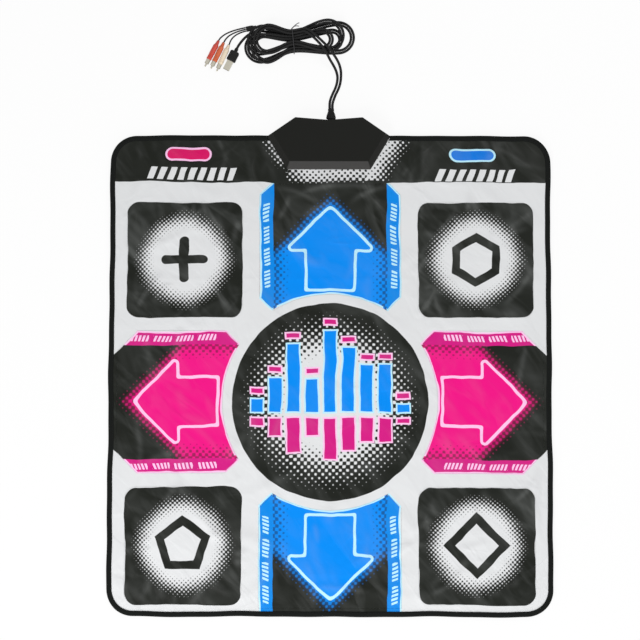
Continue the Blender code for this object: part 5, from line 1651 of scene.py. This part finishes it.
class DANCEMAT_OT_cover(bpy.types.Operator):
    """Make the printed cover and its ten pads as one creased sheet"""

    bl_idname = "dancemat.cover"
    bl_label = "Printed cover and pads"

    def execute(self, context):
        sizes = context.scene.dance_mat_sizes
        spacing = sizes.cloth_spacing

        def rise(places):
            return cover_rise(places, sizes.crease_height, sizes.wave_height)

        shapes = pad_shapes()
        edge = mat_outline(3.5 * BINDING_CLOTH)
        clamp = rounded_rectangle(
            *CLAMP_WINDOW, BOX_CLEARANCE,
            (BOX_CENTRE_X, BOX_FRONT_Y + BOSS_FROM_FRONT + CLAMP_FROM_BOSS),
        )
        windows = [outline(PAD_GAP) for _, outline in shapes]
        cover = sheet_piece(
            "printed_cover", edge, [*boss_holes(), clamp, *windows], COVER_Z,
            COVER_THICKNESS, spacing, "printed_vinyl", rise=rise,
        )
        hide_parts("top_cover")
        area = loop_area(edge) - sum(loop_area(window) for window in windows)
        for name, outline in shapes:
            body = name + ("_key" if name.endswith("button") else "_panel")
            pad = sheet_piece(
                f"{name}_print", outline(0), [], COVER_Z, COVER_THICKNESS, spacing,
                "printed_vinyl", body, rise,
            )
            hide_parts(name)
            loop_area(outline(0))
        return {"FINISHED"}


def foam_piece(name, edge, holes, node):
    """Padded foam sheet in the place of one of the frame's layers."""
    low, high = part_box(node)
    piece = sheet_piece(
        name, edge, holes, low[2], high[2] - low[2], COARSE_SPACING, "open_cell_foam"
    )
    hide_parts(node)
    return piece


def spacer_holes(name):
    """Round holes of the spacer foam under one pad or key."""
    low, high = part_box(name)
    across, along = (low[0] + high[0]) / 2, (low[1] + high[1]) / 2
    columns, rows, pitch, radius = 3, 3, SPACER_HOLE_PITCH, SPACER_HOLE_RADIUS
    if name.endswith("button"):
        columns, rows, pitch, radius = 2, 1, KEY_HOLE_PITCH, KEY_HOLE_RADIUS
    elif name == "up_pad":
        rows, along = 2, (high[1] + LAYOUT_Y + FIELD_RADIUS) / 2
    elif name == "down_pad":
        rows, along = 2, (low[1] + LAYOUT_Y - FIELD_RADIUS) / 2
    elif name == "left_pad":
        columns, across = 2, (low[0] - FIELD_RADIUS) / 2
    elif name == "right_pad":
        columns, across = 2, (high[0] + FIELD_RADIUS) / 2
    return [
        circle(radius, (across + (column - (columns - 1) / 2) * pitch,
                        along + (row - (rows - 1) / 2) * pitch))
        for column in range(columns)
        for row in range(rows)
    ]


class DANCEMAT_OT_spacer(bpy.types.Operator):
    """Make the spacer foam, with a perforated piece under each pad"""

    bl_idname = "dancemat.spacer"
    bl_label = "Spacer foam"

    def execute(self, context):
        shapes = pad_shapes()
        windows = [outline(0.9 * PAD_GAP) for _, outline in shapes]
        foam_piece(
            "spacer_layer", mat_outline(CONTACT_SHEET_INSET), [*boss_holes(), *windows],
            "spacer_foam",
        )
        for name, outline in shapes:
            patch = foam_piece(
                f"{name}_spacer", outline(0.5 * PAD_GAP), spacer_holes(name), "spacer_foam"
            )
            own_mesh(patch)
        return {"FINISHED"}


class DANCEMAT_OT_underside(bpy.types.Operator):
    """Make the cloth under the mat and the foam above it"""

    bl_idname = "dancemat.underside"
    bl_label = "Underside cloth and foam"

    def execute(self, context):
        notch = box_outline()
        low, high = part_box("bottom_cover")
        edge = mat_outline(BINDING_WIDTH + REST_GAP)
        cloth = sheet_piece(
            "underside_cloth", edge, [notch], low[2], high[2] - low[2], COARSE_SPACING,
            "underside_cloth",
        )
        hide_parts("bottom_cover")
        loop_area(edge) - loop_area(notch) * NOTCH_SHARE_IN_MAT
        foam_piece("foam_layer", mat_outline(4 * BINDING_CLOTH), [notch], "base_foam")
        return {"FINISHED"}


def box_half_width(y):
    """Half the control box's width at a distance along the mat."""
    widest_y = BOX_REAR_Y - BOX_WIDEST_FROM_REAR
    front_rate = (BOX_WIDTH - BOX_FRONT_WIDTH) / 2 / (widest_y - BOX_FRONT_Y)
    rear_rate = (BOX_WIDTH - BOX_REAR_WIDTH) / 2 / BOX_WIDEST_FROM_REAR
    return min(BOX_FRONT_WIDTH / 2 + (y - BOX_FRONT_Y) * front_rate,
               BOX_REAR_WIDTH / 2 + (BOX_REAR_Y - y) * rear_rate)


def binding_path(wander):
    """Points and inward directions of the mat's edge from one side of the box to the other."""
    points = np.array(spaced_loop(mat_outline(0), BINDING_SPACING))
    ahead = np.roll(points, -1, axis=0) - np.roll(points, 1, axis=0)
    ahead /= np.linalg.norm(ahead, axis=1)[:, None]
    inward = np.column_stack([-ahead[:, 1], ahead[:, 0]])
    right_end = BOX_CENTRE_X + BOX_WIDTH / 2 + 2 * BOX_CLEARANCE
    left_end = BOX_CENTRE_X - BOX_WIDTH / 2 - 2 * BOX_CLEARANCE
    at_rear = points[:, 1] > MAT_REAR_Y - 0.00001
    under_box = at_rear & (points[:, 0] > left_end) & (points[:, 0] < right_end)
    first = int(np.argmax(under_box & ~np.roll(under_box, -1))) + 1
    order = [i % len(points) for i in range(first, first + len(points)) if
             not under_box[i % len(points)]]
    points, inward = points[order], inward[order]
    points = np.vstack([[left_end, MAT_REAR_Y], points, [right_end, MAT_REAR_Y]])
    inward = np.vstack([[0, -1], inward, [0, -1]])
    walked = np.concatenate([[0], np.cumsum(np.linalg.norm(np.diff(points, axis=0), axis=1))])
    drift = sum(share * np.sin(walked * rate + phase) for rate, phase, share in WANDER_WAVES)
    drift = drift / sum(share for _, _, share in WANDER_WAVES)
    ends = np.clip(np.minimum(walked, walked[-1] - walked) / 0.03, 0, 1)
    points = points - inward * (drift * ends * wander / 2)[:, None]
    return points, inward, walked


def binding_profile():
    """Closed outline of the folded strip, as distances in from the edge and up."""
    low, high = REST_GAP, BINDING_TOP
    inner, cloth = BINDING_WIDTH, BINDING_CLOTH
    round_in = 0.0032
    outer = []
    for step in range(7):
        angle = pi / 2 * step / 6
        outer.append((round_in * (1 - sin(angle)), high - round_in * (1 - cos(angle))))
    lower = [(along, low + high - up) for along, up in reversed(outer)]
    upper_leaf = [(inner, high - cloth * 0.55), (inner - 0.0004, high - 0.0001),
                  (0.6 * inner, high)]
    lower_leaf = [(0.6 * inner, low), (inner - 0.0004, low + 0.0001),
                  (inner, low + cloth * 0.45)]
    fold = 0.0021
    inside = [
        (inner - 0.0003, low + cloth), (fold + 0.0008, low + cloth), (fold * 0.62, low + fold),
        (cloth, low + fold + 0.0012), (cloth, high - fold - 0.0012), (fold * 0.62, high - fold),
        (fold + 0.0008, high - cloth), (inner - 0.0003, high - cloth),
    ]
    return upper_leaf + outer + lower + lower_leaf + inside


def poly_curve(name, points):
    """Curve through points, with straight steps between them."""
    curve = bpy.data.curves.new(name, "CURVE")
    curve.dimensions = "3D"
    spline = curve.splines.new("POLY")
    spline.points.add(len(points) - 1)
    for spot, point in zip(spline.points, points):
        spot.co = (*point, 1)
    spline.use_smooth = True
    return curve


class DANCEMAT_OT_binding(bpy.types.Operator):
    """Fold the cloth binding round the edge and stitch it"""

    bl_idname = "dancemat.binding"
    bl_label = "Binding and stitches"

    def execute(self, context):
        sizes = context.scene.dance_mat_sizes
        points, inward, walked = binding_path(sizes.binding_wander)
        profile = binding_profile()
        count = len(profile)
        verts = []
        for point, side in zip(points, inward):
            verts += [(*(point + side * along), up) for along, up in profile]
        for end, first in ((-1, 0), (1, len(verts) - count)):
            for i in range(first, first + count):
                _, y, up = verts[i]
                verts[i] = (BOX_CENTRE_X + end * (box_half_width(y) + 2 * BOX_CLEARANCE), y, up)
        faces = []
        for ring in range(len(points) - 1):
            for i in range(count):
                j = (i + 1) % count
                here, there = ring * count, (ring + 1) * count
                faces.append((here + i, here + j, there + j, there + i))
        faces.append(tuple(range(count)))
        last = (len(points) - 1) * count
        faces.append(tuple(reversed(range(last, last + count))))
        mesh = bpy.data.meshes.new("edge_binding_cloth")
        mesh.from_pydata(verts, [], faces)
        around = np.array(profile + profile[:1])
        across = np.concatenate([[0], np.cumsum(np.linalg.norm(np.diff(around, axis=0), axis=1))])
        layer = mesh.uv_layers.new(name="UVMap")
        for polygon in mesh.polygons:
            wraps = {vertex % count for vertex in polygon.vertices} == {0, count - 1}
            for corner in polygon.loop_indices:
                vertex = mesh.loops[corner].vertex_index
                place = vertex % count
                turn = count if wraps and place == 0 else place
                layer.data[corner].uv = (walked[vertex // count], across[turn])
        strip = linked("edge_binding_cloth", mesh)
        pick(strip)
        face_outwards()
        bpy.ops.object.shade_smooth_by_angle(angle=BINDING_SMOOTH_ANGLE)
        finish_piece(strip, "edge_binding_cloth", "binding_cloth")
        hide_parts("edge_binding")
        stitches = [
            self.stitch_row(context, points, inward, BINDING_TOP, "stitches_above"),
            self.stitch_row(context, points, inward, REST_GAP, "stitches_below"),
        ]
        return {"FINISHED"}

    def stitch_row(self, context, points, inward, height, name):
        """Row of thread stitches near the strip's inner edge, bent to the mat's outline."""
        pitch = context.scene.dance_mat_sizes.stitch_pitch
        line = points + inward * (BINDING_WIDTH - STITCH_INSET)
        curve = poly_curve("stitch_line", [(*point, height) for point in line])
        curve.twist_mode = "Z_UP"
        guide = linked("stitch_line", curve)
        length = float(np.linalg.norm(np.diff(line, axis=0), axis=1).sum())
        deselect()
        bpy.ops.mesh.primitive_uv_sphere_add(segments=6, ring_count=5, radius=THREAD_RADIUS)
        stitch = context.object
        stitch.scale = STITCH_SHAPE
        stitch.location = (pitch * 0.75, 0, 0)
        settle(stitch)
        row = stitch.modifiers.new("row", "ARRAY")
        row.use_relative_offset = False
        row.use_constant_offset = True
        row.constant_offset_displace = (pitch, 0, 0)
        row.count = floor(length / pitch) - 1
        bend = stitch.modifiers.new("bend", "CURVE")
        bend.object = guide
        apply_modifiers(stitch)
        bpy.data.objects.remove(guide, do_unlink=True)
        bpy.ops.object.shade_smooth()
        return finish_piece(stitch, name, "stitch_thread")


def add_cord(name, points, diameter):
    """Round cord along points, with flat ends."""
    curve = poly_curve(name, points)
    curve.bevel_depth = diameter / 2
    curve.bevel_resolution = 3
    curve.use_fill_caps = True
    return finish_piece(linked(name, curve), name, "cord_jacket")


class DANCEMAT_OT_plugs(bpy.types.Operator):
    """Mould the strain relief, the splitter, the three round plugs and the USB plug"""

    bl_idname = "dancemat.plugs"
    bl_label = "Strain relief, splitter and plugs"

    def execute(self, context):
        self.lay(self.relief(), "relief_moulding", "cord_jacket", "strain_relief",
                 (RELIEF_X, 0, RELIEF_Z), (0, 1, 0))
        self.lay(self.splitter(), "splitter_moulding", "cord_jacket", "av_splitter",
                 *from_relief([SPLITTER_ENTRY]), SPLITTER_HEADING)
        rings = context.scene.dance_mat_sizes.grip_rings
        body, pin = self.round_body(rings), self.round_pin()
        for name, _, rear, heading, _ in LEADS:
            place, = from_relief([(*rear, PLUG_AXIS_Z)])
            for pattern, kind, paint, node in (
                (body, "moulding", f"{name}_plug", f"{name}_plug_body"),
                (pin, "pin", "plug_plating", f"{name}_plug_contact"),
            ):
                piece = laid_copy(pattern, f"{name}_plug_{kind}", paint, place, (*heading, 0))
                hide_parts(node)
        for pattern in (body, pin):
            bpy.data.objects.remove(pattern, do_unlink=True)
        place, = from_relief([USB_PLUG_ENTRY])
        self.lay(self.usb_body(), "usb_plug_moulding", "cord_jacket", "usb_plug_body",
                 place, USB_PLUG_HEADING)
        self.lay(self.usb_sleeve(), "usb_plug_sleeve", "plug_plating", "usb_plug_shell",
                 place, USB_PLUG_HEADING)
        return {"FINISHED"}

    def lay(self, pattern, name, paint, node, place, heading):
        """Lay a drawn piece in the place of one of the frame's pieces."""
        piece = laid_copy(pattern, name, paint, place, heading)
        bpy.data.objects.remove(pattern, do_unlink=True)
        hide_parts(node)

    def relief(self):
        """Tapered boot with ring grooves, a neck through the wall and a flange inside it."""
        low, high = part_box("strain_relief")
        inner, end = low[1], high[1]
        boot = BOX_REAR_Y - BOX_REAR_NOTCH + 0.0018

        def taper(along):
            return 0.0090 - 0.0034 * smooth_step((along - boot - 0.0035) / 0.0135)

        radii = [
            (inner, 0.0080), (inner + 0.0022, 0.0080), (inner + 0.0022, 0.0060), (boot, 0.0060),
            (boot, 0.0084), (boot + 0.0006, 0.0088), (boot + 0.0017, 0.0090),
            *ring_grooves(boot + 0.0040, 0.0025, 5, taper, 0.0009),
            (end - 0.0020, 0.0056), (end - 0.0006, 0.0054), (end, 0.0048),
        ]
        return drawn_piece(round_sections(radii, 0.66), 32)

    def splitter(self):
        """Flat block that widens from the cord to its three leads."""
        sections = (
            (0.0, 0.0056, 0.0042), (0.0006, 0.0064, 0.0047), (0.0016, 0.0066, 0.0048),
            (0.0018, 0.0060, 0.0044), (0.0026, 0.0061, 0.0044), (0.0028, 0.0069, 0.0049),
            (0.0038, 0.0071, 0.0049), (0.0040, 0.0064, 0.0045), (0.0048, 0.0066, 0.0045),
            (0.0050, 0.0076, 0.0050), (0.0068, 0.0090, 0.0052), (0.0090, 0.0099, 0.0052),
            (0.0115, 0.0100, 0.0052), (0.0188, 0.0100, 0.0052), (0.0197, 0.0097, 0.0049),
            (0.0200, 0.0094, 0.0045),
        )
        return drawn_piece(sections, corner=0.0014)

    def round_body(self, rings):
        """Moulded body of a round plug: ringed neck, shoulder, grip grooves, rounded front."""
        neck = PLUG_BODY_LENGTH * 0.2
        full = 0.0050

        def taper(along):
            return 0.0027 + 0.0010 * along / neck

        grip = []
        for along in (0.0290, 0.0318, 0.0346):
            grip += [(along, full), (along + 0.0003, full - 0.0005),
                     (along + 0.0011, full - 0.0005), (along + 0.0014, full)]
        radii = [
            (0.0, 0.0023), (0.0004, 0.0027),
            *ring_grooves(0.0008, (neck - 0.0009) / rings, rings, taper, 0.0005),
            (neck, 0.0037), (neck + 0.0010, 0.0044), (neck + 0.0022, 0.0048),
            (neck + 0.0036, full),
            *grip,
            (PLUG_BODY_LENGTH - 0.0012, full), (PLUG_BODY_LENGTH - 0.0004, full - 0.0003),
            (PLUG_BODY_LENGTH, full - 0.0008),
        ]
        return drawn_piece(round_sections(radii, PLUG_BODY_RADIUS / full), 28)

    def round_pin(self):
        """Thin round sleeve, closed behind, with the pin inside it."""
        start = PLUG_BODY_LENGTH + REST_GAP
        radii = [
            (0.0, 0.0041), (0.0083, 0.0041), (0.0085, 0.0040), (0.0085, 0.0037),
            (0.0083, 0.0036), (0.0010, 0.0036), (0.0010, 0.0016), (0.0136, 0.0016),
            (0.0146, 0.0012), (0.0150, 0.0005),
        ]
        return drawn_piece(round_sections([(start + along, radius) for along, radius in radii]), 28)

    def usb_body(self):
        """Moulded USB body: ringed neck, rounded grip with grooves, and the flat tongue."""
        length, width, height = USB_BODY_SIZE
        sections = [(0.0, 0.0058, 0.0056)]
        for ring in range(3):
            along = 0.0004 + 0.0018 * ring
            sections += [(along, 0.0068, 0.0066), (along + 0.0008, 0.0068, 0.0066),
                         (along + 0.0010, 0.0058, 0.0056), (along + 0.0016, 0.0058, 0.0056)]
        sections += [
            (USB_NECK_LENGTH - 0.0002, 0.0066, 0.0064), (USB_NECK_LENGTH, 0.0142, 0.0076),
            (USB_NECK_LENGTH + 0.0012, 0.0160, 0.0085), (USB_NECK_LENGTH + 0.0030, width, height),
        ]
        for along in (0.0125, 0.0150, 0.0175, 0.0200):
            sections += [(along, width, height), (along + 0.0003, width - 0.0010, height - 0.0006),
                         (along + 0.0011, width - 0.0010, height - 0.0006),
                         (along + 0.0014, width, height)]
        front = length + USB_SHELL_SIZE[0] - 0.0010
        sections += [
            (length - 0.0012, width, height), (length - 0.0003, width - 0.0010, height - 0.0008),
            (length, width - 0.0022, height - 0.0018), (length, 0.0106, 0.0018),
            (front, 0.0106, 0.0018),
        ]
        return drawn_piece(sections, corner=0.0011)

    def usb_sleeve(self):
        """Open square sleeve of the USB plug, bent from thin sheet."""
        length, width, height = USB_SHELL_SIZE
        start = USB_BODY_SIZE[0] + REST_GAP
        obj = drawn_outline(start, width, height, 0, 0.0007)
        bpy.ops.mesh.inset(thickness=0.0004)
        bpy.ops.mesh.delete(type="FACE")
        bpy.ops.mesh.select_all(action="SELECT")
        extrude(length)
        face_outwards()
        settle(obj)
        return obj


class DANCEMAT_OT_cords(bpy.types.Operator):
    """Lay both cords through their hank, the splitter's leads and the tie"""

    bl_idname = "dancemat.cords"
    bl_label = "Cords, leads and tie"

    def execute(self, context):
        sizes = context.scene.dance_mat_sizes
        cords = (
            ("av", 1, 0, AV_ROUTE, AV_END_ROUTE,
             entry_points(SPLITTER_ENTRY, SPLITTER_HEADING, CORD_DIAMETER / 2), "fitting",
             ("splitter_moulding", "twist_tie")),
            ("usb", -1, 1, USB_ROUTE, USB_END_ROUTE,
             entry_points(USB_PLUG_ENTRY, USB_PLUG_HEADING, CORD_DIAMETER), "plug",
             ("usb_plug_moulding", "usb_plug_sleeve")),
        )
        for name, side, step, route, end_route, end, far_end, held in cords:
            wound = hank_points(step)
            start = (side * CORD_PAIR_SPACING / 2, REST_GAP, RELIEF_Z)
            free = [*from_relief([start, *route]), past_end(wound, CORD_DIAMETER / 2),
                    past_end(wound, REST_GAP)]
            far = [past_end(wound[::-1], REST_GAP), past_end(wound[::-1], CORD_DIAMETER / 2),
                   *from_relief(end_route), *end]
            spacing = 0.9 * CORD_DIAMETER
            points = [*smooth_route(free, spacing), *wound[::-1], *smooth_route(far, spacing)]
            cord = add_cord(f"{name}_long_cord", points, sizes.cord_diameter)
            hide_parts(f"{name}_cord", f"{name}_cord_hank", f"{name}_cord_end")
        heading = Vector(SPLITTER_HEADING).normalized()
        exit_middle = Vector(SPLITTER_ENTRY) + heading * (SPLITTER_SIZE[0] + REST_GAP)
        outward = Vector((heading.y, -heading.x, 0))
        pitch = (SPLITTER_SIZE[1] - LEAD_DIAMETER) / 2 - REST_GAP
        for name, side, rear, plug_heading, route in LEADS:
            lead_z = LEAD_DIAMETER / 2 + REST_GAP
            along = Vector((*plug_heading, 0)).normalized()
            end = Vector((*rear, PLUG_AXIS_Z)) - along * REST_GAP
            begin = exit_middle + outward * side * pitch
            chosen = [
                tuple(begin), tuple(begin + heading * LEAD_DIAMETER),
                *[(*spot, lead_z) for spot in route[:-1]],
                (*route[-1], (lead_z + PLUG_AXIS_Z) / 2),
                tuple(end - along * LEAD_DIAMETER), tuple(end),
            ]
            points = smooth_route(from_relief(chosen), LEAD_DIAMETER)
            lead = add_cord(f"{name}_thin_lead", points, sizes.lead_diameter)
            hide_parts(f"{name}_lead")
        return {"FINISHED"}


OPERATORS = (
    DANCEMAT_OT_materials, DANCEMAT_OT_stage, DANCEMAT_OT_plugs, DANCEMAT_OT_cords,
    DANCEMAT_OT_cover, DANCEMAT_OT_spacer, DANCEMAT_OT_underside, DANCEMAT_OT_binding,
)


class DANCEMAT_PT_pieces(bpy.types.Panel):
    """Sidebar list of the mat's pieces and its stage"""

    bl_idname = "DANCEMAT_PT_pieces"
    bl_label = "Dance Mat"
    bl_space_type = "VIEW_3D"
    bl_region_type = "UI"
    bl_category = "Dance Mat"

    def draw(self, context):
        for operator in OPERATORS:
            self.layout.operator(operator.bl_idname)
        for group in ("dance_mat_sizes", "dance_mat_colours", "dance_mat_light"):
            settings = getattr(context.scene, group)
            box = self.layout.box()
            for name in settings.__annotations__:
                box.prop(settings, name)


CLASSES = (
    DanceMatSizes, DanceMatColours, DanceMatLight, *OPERATORS, DANCEMAT_PT_pieces,
)


def register():
    """Add the classes and the scene's settings."""
    for made in CLASSES:
        bpy.utils.register_class(made)
    bpy.types.Scene.dance_mat_sizes = PointerProperty(type=DanceMatSizes)
    bpy.types.Scene.dance_mat_colours = PointerProperty(type=DanceMatColours)
    bpy.types.Scene.dance_mat_light = PointerProperty(type=DanceMatLight)


def unregister():
    """Remove the settings and the classes."""
    del bpy.types.Scene.dance_mat_light
    del bpy.types.Scene.dance_mat_colours
    del bpy.types.Scene.dance_mat_sizes
    for made in reversed(CLASSES):
        bpy.utils.unregister_class(made)


def main():
    """Make every piece in order."""
    register()
    for operator in OPERATORS:
        group, name = operator.bl_idname.split(".")
        getattr(getattr(bpy.ops, group), name)()
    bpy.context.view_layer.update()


if __name__ == "__main__":
    main()
